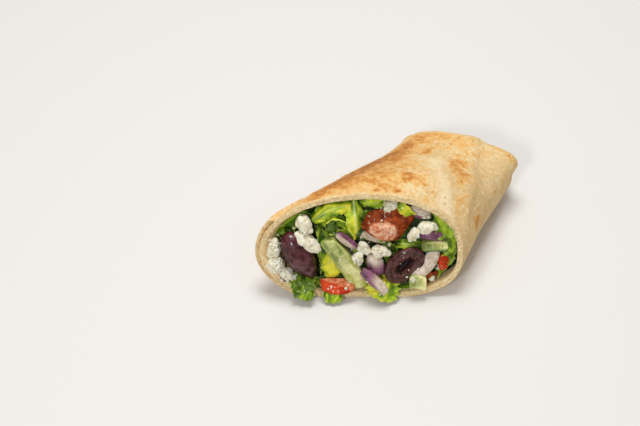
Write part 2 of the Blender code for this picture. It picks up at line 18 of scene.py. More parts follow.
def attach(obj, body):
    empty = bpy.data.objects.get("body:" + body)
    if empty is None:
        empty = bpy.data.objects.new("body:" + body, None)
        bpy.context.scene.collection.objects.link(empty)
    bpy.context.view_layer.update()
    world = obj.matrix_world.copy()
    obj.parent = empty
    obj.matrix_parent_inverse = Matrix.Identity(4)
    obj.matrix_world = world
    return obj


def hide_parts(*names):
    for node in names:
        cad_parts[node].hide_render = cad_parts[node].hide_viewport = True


MM = 0.001
TAU = 2 * math.pi

# The roll, seen from above: where it is widest at the cut and at the closed end.
CUT_RIGHT = np.array([47.6, 8.0])
CUT_LEFT = np.array([-45.2, 8.0])
END_RIGHT = np.array([74.2, 63.5])
END_LEFT = np.array([21.5, 82.4])

# How far the closed end rounds out, the roll's length, which way it lies, and how far the cut leans back.
END_REACH = 11.0
ROLL_LENGTH = 75.0
ROLL_WAY = math.radians(36)
CUT_LEAN = math.radians(20)

# The section: its height at the cut and at the end, how far up it is widest, and how square its sides are.
CUT_HEIGHT = 52.2
END_HEIGHT = 32.4
WIDEST_SHARE = 0.44
SIDE_CORNER = 2.45

# Where the foot of the cut lies in the row frame, and the directions of the cut face.
ORIGIN_SHIFT = np.array([-14.551, -42.742, 0.0])
FACE_RIGHT = np.array([1.0, 0.0, 0.0])
FACE_UP = np.array([0.0, math.sin(CUT_LEAN), math.cos(CUT_LEAN)])
FACE_OUT = np.array([0.0, -math.cos(CUT_LEAN), math.sin(CUT_LEAN)])
FACE_AXES = np.stack([FACE_RIGHT, FACE_UP, FACE_OUT])

# The bread.
BREAD = 2.7
FLAP = 3.0
FLAP_TOP = math.radians(149)
FLAP_FOOT = math.radians(268)
FLAP_SINK = math.radians(38)
CAVITY_END = 0.97
BREAD_TURNS = 300
BREAD_RINGS = 118
SKIN_START = 3.6
END_RINGS = 34
END_TIP = 1.93

# Toasted patches on the bread, two on the flap's outside also painted shadow of the wrap's other half:
# (millimetres from the cut, degrees round, length, degrees wide, strength)
TOAST = [
    (4, 122, 9, 14, 0.5),
    (14, 119, 13, 13, 0.8),
    (30, 115, 12, 12, 0.85),
    (45, 110, 12, 11, 0.9),
    (60, 107, 12, 11, 0.85),
    (73, 100, 9, 14, 0.6),
    (49, 95, 7, 6, 0.5),
    (14, 98, 14, 12, 0.45),
    (34, 88, 22, 11, 0.35),
    (36, 86, 46, 44, 0.22),
    (60, 81, 6, 6, 0.5),
    (11, 88, 6, 6, 0.35),
    (6, 80, 5, 6, 0.3),
    (18, 72, 6, 6, 0.45),
    (47, 55, 13, 7, 0.65),
    (32, 45, 11, 7, 0.55),
    (18, 31, 9, 8, 0.4),
    (76, 82, 6, 9, 0.45),
    (72, 62, 6, 9, 0.5),
    (80, 29, 5, 8, 0.85),
    (22, 5, 5, 8, 0.8),
    (3, 84, 1.3, 2.2, 0.9),
    (4, 72, 1.2, 1.8, 1.1),
    (13, 60, 1.2, 1.6, 0.9),
    (9, 53, 1.8, 1.5, 0.9),
    (24, 76, 1.6, 1.6, 0.8),
    (18, 72, 2.4, 1.8, 0.6),
    (60, 81, 2.5, 2.5, 0.6),
    # Painted shadow: these two patches on the flap's outside are toasting and also stand for the shadow of
    # the wrap's other half, which is not built here.
    (3, 195, 9, 26, 0.55),
    (8, 168, 16, 16, 0.8),
    (45, 160, 30, 20, 0.5),
    (50, 255, 30, 40, 0.45),
]

# The pale ridge on the skin, partly untoasted and partly painted highlight: (degrees round at the cut,
# degrees a millimetre, degrees wide, how much paler)
PALE_RIDGE = (36, 0.68, 8, 0.6)

# Camera: it looks along +Y and down, with the lens that gives the photograph's scale.
CAMERA_TARGET = np.array([-17.3, 54.2, 0.0])
CAMERA_ELEVATION = math.radians(45.8)
CAMERA_DISTANCE = 850.0
CAMERA_LENS = 99.45

# Light and floor, in metres and watts. A light is (place, aim, size, power).
KEY_LIGHT = ((-0.02, 0.20, 0.95), (0, 0, 0), 0.46, 6.3)
FILL_LIGHT = ((-0.30, -0.80, 0.7), (0, 0, 0.02), 0.16, 3.4)
SKY_COLOUR = (1.0, 0.97, 0.93, 1)
SKY_STRENGTH = 0.44
FLOOR_REACH = 4.0
FLOOR_DROP = 0.0003

# The salad.
SCRAPS = 95
LEAF_GRID = (52, 23)
SCRAP_GRID = (26, 11)

# name: (spine points, width, way the leaf faces, cup, ruffle, waves, tone, rib)
LEAVES = {
    "top_left": (
        [(-20.5, 37, -4), (-17, 43, -0.5), (-10, 46.5, -0.5), (-3.5, 45, -3)],
        7.5, (0, 0.35, 1), -1.2, 0.7, 3, 0.78, 0.7,
    ),
    "arch": (
        [(-16, 34.5, -5), (-14, 43, -4), (-4, 42.5, -4), (-0.8, 28.5, -4.5)],
        9.0, (0.1, 1, 0.3), 0.8, 0.5, 2, 0.74, 0.3,
    ),
    "under_arch": (
        [(-14, 32, -6.5), (-8, 35.5, -3.5), (-1.5, 29.5, -5.5)],
        7.0, (0, 0.3, 1), 1.0, 0.6, 2, 0.66, 0.2,
    ),
    "ribbed": (
        [(-2.4, 48, -6), (-1.6, 43, -1.2), (-1.4, 37, -0.6), (-1, 31, -4.5)],
        8.5, (0.25, 0, 1), -1.2, 0.6, 2, 0.67, 1.0,
    ),
    "top_middle": (
        [(0.5, 46, -6), (6, 46.5, -1.5), (13, 46.2, -7)],
        5.5, (0, -0.2, 1), -1.0, 0.6, 2, 0.68, 0.3,
    ),
    "curl": (
        [(17.0, 46, -7), (20.2, 44, -1.8), (24.4, 39.4, -4.8)],
        4.8, (0, 0.3, 1), 0.8, 0.5, 2, 0.78, 0.3,
    ),
    "shaded": (
        [(24, 43.5, -8), (30, 43.5, -3.5), (36, 37, -8)],
        7.0, (0, 0, 1), 0.9, 0.6, 2, 0.3, 0.2,
    ),
    "right_frill": (
        [(33, 42, -6), (38, 38, -0.6), (41.6, 31, -0.6), (42.8, 23.5, -4)],
        8.2, (-0.2, -0.2, 1), 1.0, 1.2, 5, 0.55, 0.3,
    ),
    "right_fold": (
        [(42, 29, -6), (43.5, 23, 0), (40.5, 16, -5)],
        6.0, (-0.6, 0, 1), 0.9, 0.9, 3, 0.54, 0.2,
    ),
    "dark_centre": (
        [(16, 25.5, -7), (20.5, 30.5, -2.5), (27, 33.5, -7)],
        9.0, (0, 0, 1), -0.8, 0.7, 3, 0.42, 0.3,
    ),
    "pale_strip": (
        [(17, 25, -6), (22.5, 27, -1.5), (30, 23.5, -6)],
        4.5, (0, 0.4, 1), 0.6, 0.4, 2, 0.6, 0.7,
    ),
    "dark_left": (
        [(-17.5, 36, -6.5), (-16.5, 29, -2.2), (-15.6, 21, -2.2), (-15.5, 10, -5.5)],
        5.6, (0.5, 0, 1), 0.8, 0.5, 3, 0.46, 0.3,
    ),
    "behind_feta": (
        [(-35, 29, -7), (-31, 37.5, -3), (-24, 41.5, -7)],
        7.0, (0, 0, 1), 0.8, 0.7, 3, 0.56, 0.2,
    ),
    "left_edge": (
        [(-38.5, 27, -7), (-37.5, 32.5, -2), (-32, 35, -7)],
        5.0, (0.3, -0.3, 1), 0.6, 0.5, 2, 0.54, 0.2,
    ),
    "yellow_heart": (
        [(-13, 23, -7), (-12.5, 18, 0), (-11, 10.5, -1)],
        10.0, (0, 0.3, 1), -1.2, 0.6, 2, 0.88, 0.3,
    ),
    "bed_left": (
        [(-30, 6.5, -7), (-20, 5.6, -1.5), (-8, 5.6, -1.5), (1, 6, -6)],
        7.0, (0, 0.5, 1), 1.0, 0.8, 3, 0.42, 0.2,
    ),
    "bed_right": (
        [(2, 6.5, -7), (14, 5.6, -2), (26, 6, -2), (36, 9, -7)],
        7.0, (0, 0.5, 1), 1.0, 0.8, 3, 0.42, 0.2,
    ),
    "bed_corner": (
        [(30, 8, -8), (37, 11, -3), (41, 18, -7)],
        6.5, (-0.5, 0.3, 1), 0.9, 0.8, 2, 0.42, 0.2,
    ),
    "small_dark": (
        [(0, 18, -7), (2.5, 15.5, -2.5), (4.5, 11, -7)],
        6.0, (0, 0, 1), 0.7, 0.5, 2, 0.42, 0.2,
    ),
    "spill_left": (
        [(-27, 13, -6), (-25, 11.5, 3), (-22.5, 7, 5), (-24.5, 1.6, 5.2)],
        9.0, (0, 0.5, 1), -1.2, 1.0, 3, 0.44, 0.3,
    ),
    "spill_frill": (
        [(-31, 10, -6), (-28, 9.5, 2.5), (-26.5, 6, 4), (-27.5, 2.2, 4.4)],
        5.5, (0, 0.5, 1), 0.8, 0.9, 3, 0.5, 0.3,
    ),
    "spill_middle": (
        [(-11, 8.5, -6), (-11.2, 6.8, 2), (-11.3, 3.4, 4.6), (-11.4, -0.4, 4.8)],
        9.5, (0, 0.5, 1), -0.9, 0.3, 2, 0.6, 0.3,
    ),
    "spill_right": (
        [(11, 10, -6), (11.5, 8.5, 2), (12, 4.5, 4.8), (11, 0.6, 4.6)],
        15.5, (0, 0.5, 1), -2.2, 0.7, 3, 0.8, 0.4,
    ),
}

# name: (spine points, width, way the piece faces, cup, thickness)
ONIONS = {
    "onion_upper": ([(-9.8, 32.4, -1), (-5.4, 29.4, 1.2), (-0.8, 25.2, -1)], 4.4, (0, 0, 1), -0.6, 2.4),
    "onion_middle": ([(6.4, 21.4, -2.5), (8.2, 16.6, 0.8), (9.9, 11.2, -1.5)], 8.0, (0.1, 0, 1), -1.0, 2.6),
    "onion_front": ([(1.6, 15.8, 3.4), (7.4, 11.8, 5.6), (13.0, 5.8, 6.2)], 5.4, (0.1, 0.3, 1), -0.8, 2.4),
    "onion_right": ([(28, 30.4, -3.5), (34, 33, 0), (40.2, 27.6, -4.5)], 5.2, (0, 0, 1), -0.6, 2.8),
    "onion_white": ([(35, 24, -4), (33.6, 17, 0.6), (24.6, 10.8, 0.4)], 7.0, (-0.2, 0.2, 1), -1.0, 2.8),
    "onion_corner": ([(-35.4, 12.6, -1.5), (-33.6, 10.8, 0), (-31.8, 8.6, -0.5)], 4, (0, 0, 1), -0.3, 1.8),
    "onion_pale": ([(1.0, 30.4, -6), (7.4, 30.0, -2.6), (14.4, 26.2, -6)], 5.6, (0, 0, 1), -0.6, 2.4),
    "onion_back": ([(23, 42.4, -6.5), (28.2, 41.4, -3.4), (34.8, 38.2, -6.5)], 6.2, (0, 0.1, 1), -0.6, 2.4),
}

# name: how purple a piece is at its start, middle and end, and along its side (the other one if below 0)
ONION_PURPLE = {
    "onion_upper": (0.4, 0.25, 0.6, -1.0),
    "onion_middle": (0.0, 0.5, 1.0, 0.3),
    "onion_front": (1.0, 0.45, 0.0, 0.3),
    "onion_right": (0.7, 1.0, 0.9, 0.5),
    "onion_white": (0.0, 0.0, 0.0, 0.0),
    "onion_corner": (0.9, 0.8, 0.9, 0.5),
    "onion_pale": (0.0, 0.0, 0.1, 0.0),
    "onion_back": (0.0, 0.1, 0.3, 1.0),
}

# name: (middle, half length, half width, turn on the face in degrees)
FETA = {
    "feta_upper": ((-24.6, 37.0, -1.2), 5.0, 3.6, -58),
    "feta_wedge": ((-23.0, 28.6, 0.2), 6.8, 3.5, -39),
    "feta_left_high": ((-38.0, 24.6, -1.8), 5.2, 3.2, 84),
    "feta_left_low": ((-37.4, 16.4, -1.2), 4.6, 3.7, -68),
    "feta_left_corner": ((-32.4, 11.6, -1.4), 4.2, 3.1, -24),
    "feta_centre_a": ((-0.7, 19.2, -0.8), 3.8, 2.8, 60),
    "feta_centre_b": ((2.8, 24.2, -2.6), 3.7, 2.8, -30),
    "feta_centre_c": ((10.2, 22.8, -1.6), 4.6, 3.0, -15),
    "feta_right": ((31.2, 35.6, -1.0), 4.7, 3.2, 4),
    "feta_right_low": ((25.2, 31.8, -0.8), 3.6, 2.5, 62),
    "feta_top": ((14.4, 44.8, -4.8), 3.9, 2.9, 20),
}

# name: corners of a cut tomato piece
TOMATOES = {
    "tomato_top": [
        (0.2, 34.8, -3.6), (4.4, 42.4, -3.6), (11.0, 44.2, -4.4), (20.8, 43.4, -5), (27.0, 39.2, -5),
        (18.4, 28.0, -2.6), (12.2, 27.0, -2.2), (5.0, 30.2, -2.6), (6.0, 35.0, 0.6), (17.0, 36.6, 0.8),
        (6.0, 36.0, -12), (19.0, 38.0, -12), (15.0, 31.0, -11),
    ],
    "tomato_low": [
        (-17.8, 10.6, 1.6), (-16.4, 5.2, 3.4), (-11.5, 3.7, 4.4), (-5.5, 3.9, 4.4), (-1.2, 5.7, 3.6),
        (-0.8, 8.8, 2), (-5.0, 10.6, 1), (-14.0, 11.0, 1), (-14.0, 7.0, -5), (-3.5, 7.0, -5),
    ],
    "tomato_right": [
        (36.8, 20.6, -2.6), (40.2, 20.8, -3), (42.2, 17.6, -3.4), (41.0, 13.4, -3), (38.6, 11.6, -2.6),
        (36.6, 15.2, -1.4), (38.6, 17.0, -0.8), (38.0, 19.6, -9), (40.6, 14.0, -9),
    ],
    "tomato_corner": [
        (29.8, 9.6, -3), (33.4, 12.0, -2), (36.8, 12.0, -3), (37.0, 9.8, -3.4), (33.8, 7.2, -2),
        (31.0, 6.4, -3), (32.0, 9.0, -9), (36.0, 10.6, -9),
    ],
}

# name: (way the skin faces, where it starts, from -1 to 1 along that way, 1 if it is brown on salmon flesh)
TOMATO_SKIN = {
    "tomato_top": ((0.12, 0.34, -0.93), -0.64, 1),
    "tomato_low": ((-0.4, -1.0, 0.4), 0.0, 0),
    "tomato_right": ((0.6, 0.0, 1.0), -0.9, 0),
    "tomato_corner": ((0.6, 0.2, 1.0), -0.7, 1),
}

OLIVE_LEFT_ENDS = ((-33.0, 32.4, -1.4), (-20.2, 10.4, -0.4))
OLIVE_LEFT_RADIUS = 6.4
OLIVE_RIGHT_ENDS = ((13.6, 9.2, 0.6), (28.8, 24.0, 0.2))
OLIVE_RIGHT_RADIUS = 7.1
PIT_DEPTH = 3.2

# name: (middle, half length, half width, half depth, turn on the face in degrees, way the skin faces, slant
# of the ends)
CUCUMBERS = {
    "cucumber_long": ((-6.6, 17.6, -1.6), 14.6, 4.1, 3.8, -57, (0, -1, -0.4), 0.7),
    "cucumber_right": ((35.0, 24.6, -4.2), 6.2, 2.7, 2.6, 2, (0, -1, 0), 0.0),
    "cucumber_low": ((27.4, 8.2, -0.6), 4.1, 3.5, 3.6, -6, (1, 0, 0), -0.6),
}

# Where a crumb's fall starts, in front of the cut face, and how far it can reach
CRUMB_START, CRUMB_FALL = 30.0, 45.0

# Where small crumbs lie on the cut face: (right, up, spread, how many, size)
CRUMB_SPOTS = [
    (-34.2, 21.2, 0.2, 1, 1.7), (-12.0, 7.4, 0.6, 1, 1.0), (-16.5, 5.2, 0.6, 1, 0.9),
    (-37.5, 26, 2.6, 16, 1.0), (-37.5, 18, 2.8, 18, 1.0), (-33.5, 12.5, 3.0, 20, 0.9),
    (-29, 11.0, 2.4, 10, 0.8), (-24.5, 34, 3.0, 8, 0.8), (-22, 28, 3.6, 8, 0.7), (-1, 20, 2.6, 8, 0.8),
    (3, 24, 2.6, 8, 0.8), (10, 24, 3.0, 8, 0.8), (31, 36, 3.4, 10, 0.8), (26, 31.5, 2.2, 7, 0.7),
    (14.5, 43.5, 2.6, 8, 0.7), (24.0, 11.5, 2.0, 5, 1.0), (36.5, 13.5, 1.2, 4, 1.0), (34, 8.5, 1.2, 3, 1.0),
    (-13.5, 6.5, 1.6, 2, 0.8), (-5, 7.5, 2.5, 3, 0.8), (8, 38, 6, 4, 0.5), (15, 35, 4, 4, 0.5),
    (0, 12, 8, 3, 0.5), (12, 5, 3, 2, 0.5), (20, 20, 8, 3, 0.4), (-8, 22, 6, 2, 0.4),
]


# Small helpers on arrays.

def unit(v):
    return v / np.maximum(np.linalg.norm(v, axis=-1, keepdims=True), 1e-9)


def smooth_step(t):
    t = np.clip(t, 0, 1)
    return t * t * (3 - 2 * t)


def bump(value, middle, width):
    return np.exp(-(((value - middle) / width) ** 2))


def on_face(points):
    """Places on the cut face as points in the row frame."""
    return ORIGIN_SHIFT + np.asarray(points, float) @ FACE_AXES


def grain(points, size, seed=0):
    """Value noise from 0 to 1: random heights at the corners of cubes of that size, blended smoothly."""
    spot = np.asarray(points, float) / size + 200.0
    cell = np.floor(spot)
    share = spot - cell
    share = share * share * (3 - 2 * share)
    total = np.zeros(spot.shape[:-1])
    for i in (0, 1):
        for j in (0, 1):
            for k in (0, 1):
                corner = cell + (i, j, k)
                wave = np.sin(corner @ np.array([12.9898, 78.233, 37.719]) + 4.1414 * seed) * 43758.5453
                weight = np.prod(np.where(np.array((i, j, k)) == 1, share, 1 - share), axis=-1)
                total += (wave - np.floor(wave)) * weight
    return total


def rough(points, size, seed=0, octaves=3):
    """Noise about zero, from -1 to 1: octaves of grain, each half the size and half the height."""
    total, height = 0.0, 1.0
    for octave in range(octaves):
        total = total + height * (2 * grain(points, size / 2**octave, seed + 7 * octave) - 1)
        height /= 2
    return total / 1.6


def bezier(controls, t):
    """A Bezier curve of any degree through its first and last control point."""
    controls, degree = np.asarray(controls, float), len(controls) - 1
    return sum(
        math.comb(degree, k) * ((1 - t) ** (degree - k) * t**k)[:, None] * controls[k]
        for k in range(degree + 1)
    )


# Meshes.

def grid_quads(rows, columns, closed):
    """Four-sided faces of a grid of points, joined round its rows where closed."""
    i, j = np.meshgrid(np.arange(rows - 1), np.arange(columns if closed else columns - 1), indexing="ij")
    a = i * columns + j
    b = i * columns + (j + 1) % columns
    return np.stack([a, b, b + columns, a + columns], -1).reshape(-1, 4)


def closed_rings(rings):
    """(points, faces) of a skin over rings, with a pole in the middle of the first and the last."""
    rings = np.asarray(rings, float)
    rows, columns = rings.shape[:2]
    points = np.vstack([rings.reshape(-1, 3), rings[0].mean(0), rings[-1].mean(0)])
    side = np.arange(columns)
    after = (side + 1) % columns
    pole, base = np.full(columns, rows * columns), (rows - 1) * columns
    start = np.stack([after, side, pole], -1)
    end = np.stack([base + side, base + after, pole + 1], -1)
    return points, [grid_quads(rows, columns, True), start, end]


def make_piece(name, points, faces, finish, nodes=(), tints=None, outwards=True):
    """A smooth mesh piece from points in millimetres, which rides on the frame and stands for nodes."""
    mesh = bpy.data.meshes.new(name)
    flat = [face for group in faces for face in np.asarray(group).tolist()]
    mesh.from_pydata((np.asarray(points) * MM).tolist(), [], flat)
    for tint, values in (tints or {}).items():
        layer = mesh.attributes.new(tint, "FLOAT", "POINT")
        layer.data.foreach_set("value", np.asarray(values, np.float32).ravel())
    mesh.polygons.foreach_set("use_smooth", np.ones(len(mesh.polygons), bool))
    mesh.materials.append(finish)
    if outwards:
        shape = bmesh.new()
        shape.from_mesh(mesh)
        bmesh.ops.recalc_face_normals(shape, faces=shape.faces)
        shape.to_mesh(mesh)
        shape.free()
    mesh.update()
    piece = bpy.data.objects.new(name, mesh)
    bpy.context.scene.collection.objects.link(piece)
    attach(piece, "root")
    if nodes:
        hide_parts(*nodes)
    return piece


def joined(parts):
    """One (points, faces, tints) from several, their points one after another."""
    points, faces, tints, first = [], [], {}, 0
    for part_points, part_faces, part_tints in parts:
        points.append(part_points)
        faces += [np.asarray(group) + first for group in part_faces]
        for tint, values in part_tints.items():
            tints.setdefault(tint, []).append(np.asarray(values).ravel())
        first += len(part_points)
    return np.vstack(points), faces, {tint: np.concatenate(values) for tint, values in tints.items()}


# Materials.

class Value:
    """A number in a material. Arithmetic on it adds Math nodes."""

    def __init__(self, finish, socket):
        self.finish = finish
        self.socket = socket

    def math(self, operation, first, second=0.0):
        return self.finish.node("ShaderNodeMath", {"operation": operation}, {0: first, 1: second})

    def __add__(self, other):
        return self.math("ADD", self, other)

    def __sub__(self, other):
        return self.math("SUBTRACT", self, other)

    def __rsub__(self, other):
        return self.math("SUBTRACT", other, self)

    def __mul__(self, other):
        return self.math("MULTIPLY", self, other)

    __radd__ = __add__
    __rmul__ = __mul__

    def step(self, low, high):
        """0 below low, 1 above high, and smooth between them."""
        return self.finish.node(
            "ShaderNodeMapRange",
            {"interpolation_type": "SMOOTHSTEP"},
            {"Value": self, "From Min": low, "From Max": high},
        )


class Finish:
    """A Principled material, with short ways to add the nodes that vary it over a surface."""

    def __init__(self, name, **fixed):
        self.material = bpy.data.materials.new(name)
        self.material.use_nodes = True
        self.tree = self.material.node_tree
        self.shader = self.tree.nodes["Principled BSDF"]
        for socket, value in fixed.items():
            self.shader.inputs[socket.replace("_", " ")].default_value = value
        self.place = self.node("ShaderNodeTexCoord", output="Object")

    def node(self, kind, settings=None, inputs=None, output=0):
        """A new node of that kind, as the Value at its output. Values among its inputs are linked to it."""
        made = self.tree.nodes.new(kind)
        for name, value in (settings or {}).items():
            if name == "stops":
                for stop in value[2:]:
                    made.color_ramp.elements.new(stop[0])
                for element, (position, colour) in zip(made.color_ramp.elements, value):
                    element.position = position
                    element.color = (*colour, 1)
            else:
                setattr(made, name, value)
        for name, value in (inputs or {}).items():
            if isinstance(value, Value):
                self.tree.links.new(value.socket, made.inputs[name])
            else:
                made.inputs[name].default_value = value
        return Value(self, made.outputs[output])

    def drawn_out(self, turn, times):
        """Places in which a pattern is drawn out that many times along a level line at that turn."""
        settings = {"vector_type": "TEXTURE"}
        return self.node("ShaderNodeMapping", settings, {
            "Vector": self.place, "Rotation": (0, 0, turn), "Scale": (times, 1, 1),
        })

    def noise(self, size, detail=3, roughness=0.55, place=None):
        """Noise from 0 to 1 whose features are about size millimetres across."""
        return self.node("ShaderNodeTexNoise", {}, {
            "Vector": place or self.place,
            "Scale": 1 / (size * MM),
            "Detail": detail,
            "Roughness": roughness,
        })

    def cells(self, size):
        """Distance to the nearest of scattered points that lie about size millimetres apart."""
        return self.node("ShaderNodeTexVoronoi", {}, {"Vector": self.place, "Scale": 1 / (size * MM)})

    def tint(self, name):
        return self.node("ShaderNodeAttribute", {"attribute_name": name}, output="Fac")

    def mix(self, share, first, second):
        first, second = [(*c, 1) if isinstance(c, tuple) else c for c in (first, second)]
        return self.node("ShaderNodeMix", {"data_type": "RGBA"}, {0: share, 6: first, 7: second}, output=2)

    def ramp(self, value, *stops):
        return self.node("ShaderNodeValToRGB", {"stops": stops}, {"Fac": value})

    def raised(self, height, depth):
        """A normal for relief that is depth millimetres high where height goes from 0 to 1."""
        return self.node("ShaderNodeBump", {}, {"Height": height, "Strength": 1.0, "Distance": depth * MM})

    def wear(self, **varied):
        """Links what varies over the surface to the shader's sockets."""
        for socket, value in varied.items():
            self.tree.links.new(value.socket, self.shader.inputs[socket.replace("_", " ")])
        return self.material


def bread_skin(m, broad, dots, streak, flecks):
    """The skin before toasting: cream, mottled paler and browner, streaked, and palest on the ridge, which
    is partly untoasted skin and partly painted highlight.
    """
    skin = m.mix(broad.step(0.35, 0.65), (0.68, 0.475, 0.215), (0.77, 0.575, 0.30))
    skin = m.mix(m.noise(2.0, 5, 0.7).step(0.47, 0.68) * 0.55, skin, (0.90, 0.76, 0.51))
    skin = m.mix(streak.step(0.5, 0.72) * 0.3, skin, (0.86, 0.70, 0.44))
    skin = m.mix(dots.step(0.48, 0.68) * 0.55, skin, (0.56, 0.36, 0.14))
    skin = m.mix(flecks.step(0.50, 0.66) * 0.45, skin, (0.80, 0.50, 0.18))
    # Where the pale ridge takes the toast below zero the skin is paler: partly untoasted skin, partly
    # painted highlight.
    return m.mix((0.0 - m.tint("toast")).step(0.05, 0.55) * 0.5, skin, (0.92, 0.79, 0.55))


def toasted(m, skin, broad, patch, dots, flecks):
    """The skin with its toasting: gold, then brown, then dark, and over that spots, specks and blots."""
    toast = m.tint("toast") + (patch - 0.5) * 2.3 + (broad - 0.5) + (dots - 0.5) * 1.2 + (flecks - 0.54)
    skin = m.mix(toast.step(0.05, 0.45) * 0.85, skin, (0.74, 0.425, 0.130))
    skin = m.mix(toast.step(0.34, 1.00) * 0.95, skin, (0.56, 0.23, 0.045))
    skin = m.mix(toast.step(0.85, 1.50) * 0.8, skin, (0.31, 0.105, 0.022))
    spots = (1 - (m.cells(5.5) + (patch - 0.5) * 0.3).step(0.1, 0.24)) * m.tint("toast").step(0.0, 0.3)
    skin = m.mix(spots * 0.65, skin, (0.60, 0.26, 0.055))
    specks = (1 - m.cells(2.3).step(0.07, 0.20)) * m.noise(6, 2).step(0.44, 0.56)
    skin = m.mix(specks * 0.65, skin, (0.26, 0.14, 0.045))
    blots = 1 - m.cells(6.0).step(0.04, 0.13)
    return m.mix(blots * 0.6, skin, (0.24, 0.13, 0.045))


def bread_crumb(m, pores):
    """The crumb on the cut rim, with darker pores, and browner in the crease under the flap."""
    crumb = m.mix(m.noise(1.6, 4, 0.7).step(0.35, 0.7), (0.70, 0.50, 0.235), (0.90, 0.75, 0.46))
    crumb = m.mix(pores * 0.35, crumb, (0.50, 0.30, 0.10))
    return m.mix(m.tint("seam"), crumb, (0.56, 0.31, 0.075))


def bread_finish():
    """Toasted flatbread: cream skin with golden to brown patches, streaks and specks, and a pale crumb."""
    m = Finish("toasted_bread", Specular_IOR_Level=0.2)
    broad, patch, fine = m.noise(15, 4, 0.6), m.noise(4.5, 5, 0.68), m.noise(0.9, 3, 0.6)
    dots, pores = m.noise(1.7, 4, 0.7), 1 - m.cells(0.9).step(0.1, 0.4)
    round_roll = m.drawn_out(-ROLL_WAY, 4.5)
    streak, flecks = m.noise(1.3, 4, 0.6, round_roll), m.noise(1.0, 4, 0.65, round_roll)
    skin = toasted(m, bread_skin(m, broad, dots, streak, flecks), broad, patch, dots, flecks)
    rim = m.tint("rim")
    height = fine * 0.35 + dots * 0.5 + patch * 0.6 + streak * 0.4 - rim * pores * 0.5
    return m.wear(
        Base_Color=m.mix(rim, skin, bread_crumb(m, pores)),
        Roughness=0.62 + fine * 0.25,
        Normal=m.raised(height, 0.6),
    )


def leaf_finish():
    """Romaine: the tone of each leaf with painted shade and light in its folds, whitish ribs, puckers
    between veins, thin pale rims, a wet coat and painted whitish glints.
    """
    m = Finish("romaine_leaf", Specular_IOR_Level=0.2, Coat_Roughness=0.08)
    tone, rib, vein, edge = m.tint("tone"), m.tint("rib"), m.tint("vein"), m.tint("edge")
    blotch, fine, pucker = m.noise(5.0, 3, 0.5), m.noise(0.8, 3, 0.6), m.cells(2.2)
    shade = tone + (blotch - 0.5) * 0.45 + (fine - 0.5) * 0.15 + (0.4 - pucker) * 0.2
    # Painted shade and light: the fold tint darkens the creases of a leaf and lightens their crests.
    shade = shade + m.tint("fold") * 0.5 + rib * 0.2
    green = m.ramp(
        shade,
        (0.0, (0.006, 0.018, 0.001)), (0.22, (0.026, 0.062, 0.001)), (0.42, (0.090, 0.18, 0.002)),
        (0.62, (0.25, 0.39, 0.006)), (0.82, (0.53, 0.65, 0.030)), (1.0, (0.88, 0.80, 0.040)),
    )
    green = m.mix(rib.step(0.3, 0.9) * 0.7, green, (0.62, 0.76, 0.34))
    green = m.mix(vein * 0.3, green, (0.42, 0.60, 0.10))
    green = m.mix(edge.step(0.86, 0.99) * 0.6, green, (0.56, 0.70, 0.17))
    # Painted highlight: whitish glints mixed into the leaf's colour.
    painted_glint = m.noise(1.3, 4, 0.6).step(0.58, 0.70) * m.noise(5, 2).step(0.44, 0.58)
    green = m.mix(painted_glint * 0.45, green, (0.74, 0.78, 0.52))
    height = blotch * 0.3 + fine * 0.25 + (0.7 - pucker) * 0.6 + vein * 0.4
    return m.wear(
        Base_Color=green,
        Roughness=0.28 + fine * 0.2,
        Coat_Weight=m.noise(3.0, 3).step(0.46, 0.60) * 0.9,
        Normal=m.raised(height, 0.40),
    )


def core_finish():
    """The shaded salad behind the pieces, coloured as painted shade: dark and mid greens with paler scraps.
    """
    m = Finish("romaine_in_painted_shade", Specular_IOR_Level=0.3)
    broad, fine = m.noise(5, 4, 0.65), m.noise(1.2, 4, 0.6)
    green = m.ramp(
        broad + (fine - 0.5) * 0.5,
        (0.30, (0.002, 0.006, 0.001)), (0.55, (0.010, 0.034, 0.002)), (0.85, (0.10, 0.19, 0.010)),
    )
    return m.wear(Base_Color=green, Roughness=0.4 + fine * 0.2, Normal=m.raised(broad + fine * 0.4, 0.8))


def olive_finish():
    """Kalamata olive: nearly black plum, mottled maroon, with a wet shine and patches of painted sheen;
    browner where it is cut, and near black as painted shade in the hollow of the stone.
    """
    m = Finish("kalamata_olive", Coat_Roughness=0.05, Specular_IOR_Level=0.25)
    mottle, fine = m.noise(3.0, 5, 0.65), m.noise(0.6, 3)
    skin = m.ramp(
        mottle + (fine - 0.5) * 0.2,
        (0.30, (0.018, 0.003, 0.006)), (0.5, (0.062, 0.009, 0.013)), (0.74, (0.17, 0.024, 0.028)),
    )
    flesh = m.mix(m.noise(1.4, 4).step(0.35, 0.7), (0.032, 0.008, 0.006), (0.125, 0.034, 0.022))
    cut = m.tint("cut")
    skin = m.mix(cut, skin, flesh)
    # Painted shade: the hollow of the stone is darkened to near black.
    skin = m.mix(m.tint("pit").step(0.25, 0.8) * 0.9, skin, (0.004, 0.001, 0.001))
    # Painted sheen: pale pinkish patches mixed into the skin's colour.
    painted_sheen = m.noise(2.2, 3, 0.7).step(0.60, 0.74)
    skin = m.mix(painted_sheen * 0.15, skin, (0.50, 0.25, 0.26))
    return m.wear(
        Base_Color=skin,
        Roughness=0.26 + fine * 0.2,
        Coat_Weight=m.noise(3, 3).step(0.40, 0.56) * 0.7,
        Normal=m.raised(mottle * 0.8 + m.noise(1.2, 3) * 0.45 + fine * 0.15 + cut * fine * 0.6, 0.32),
    )


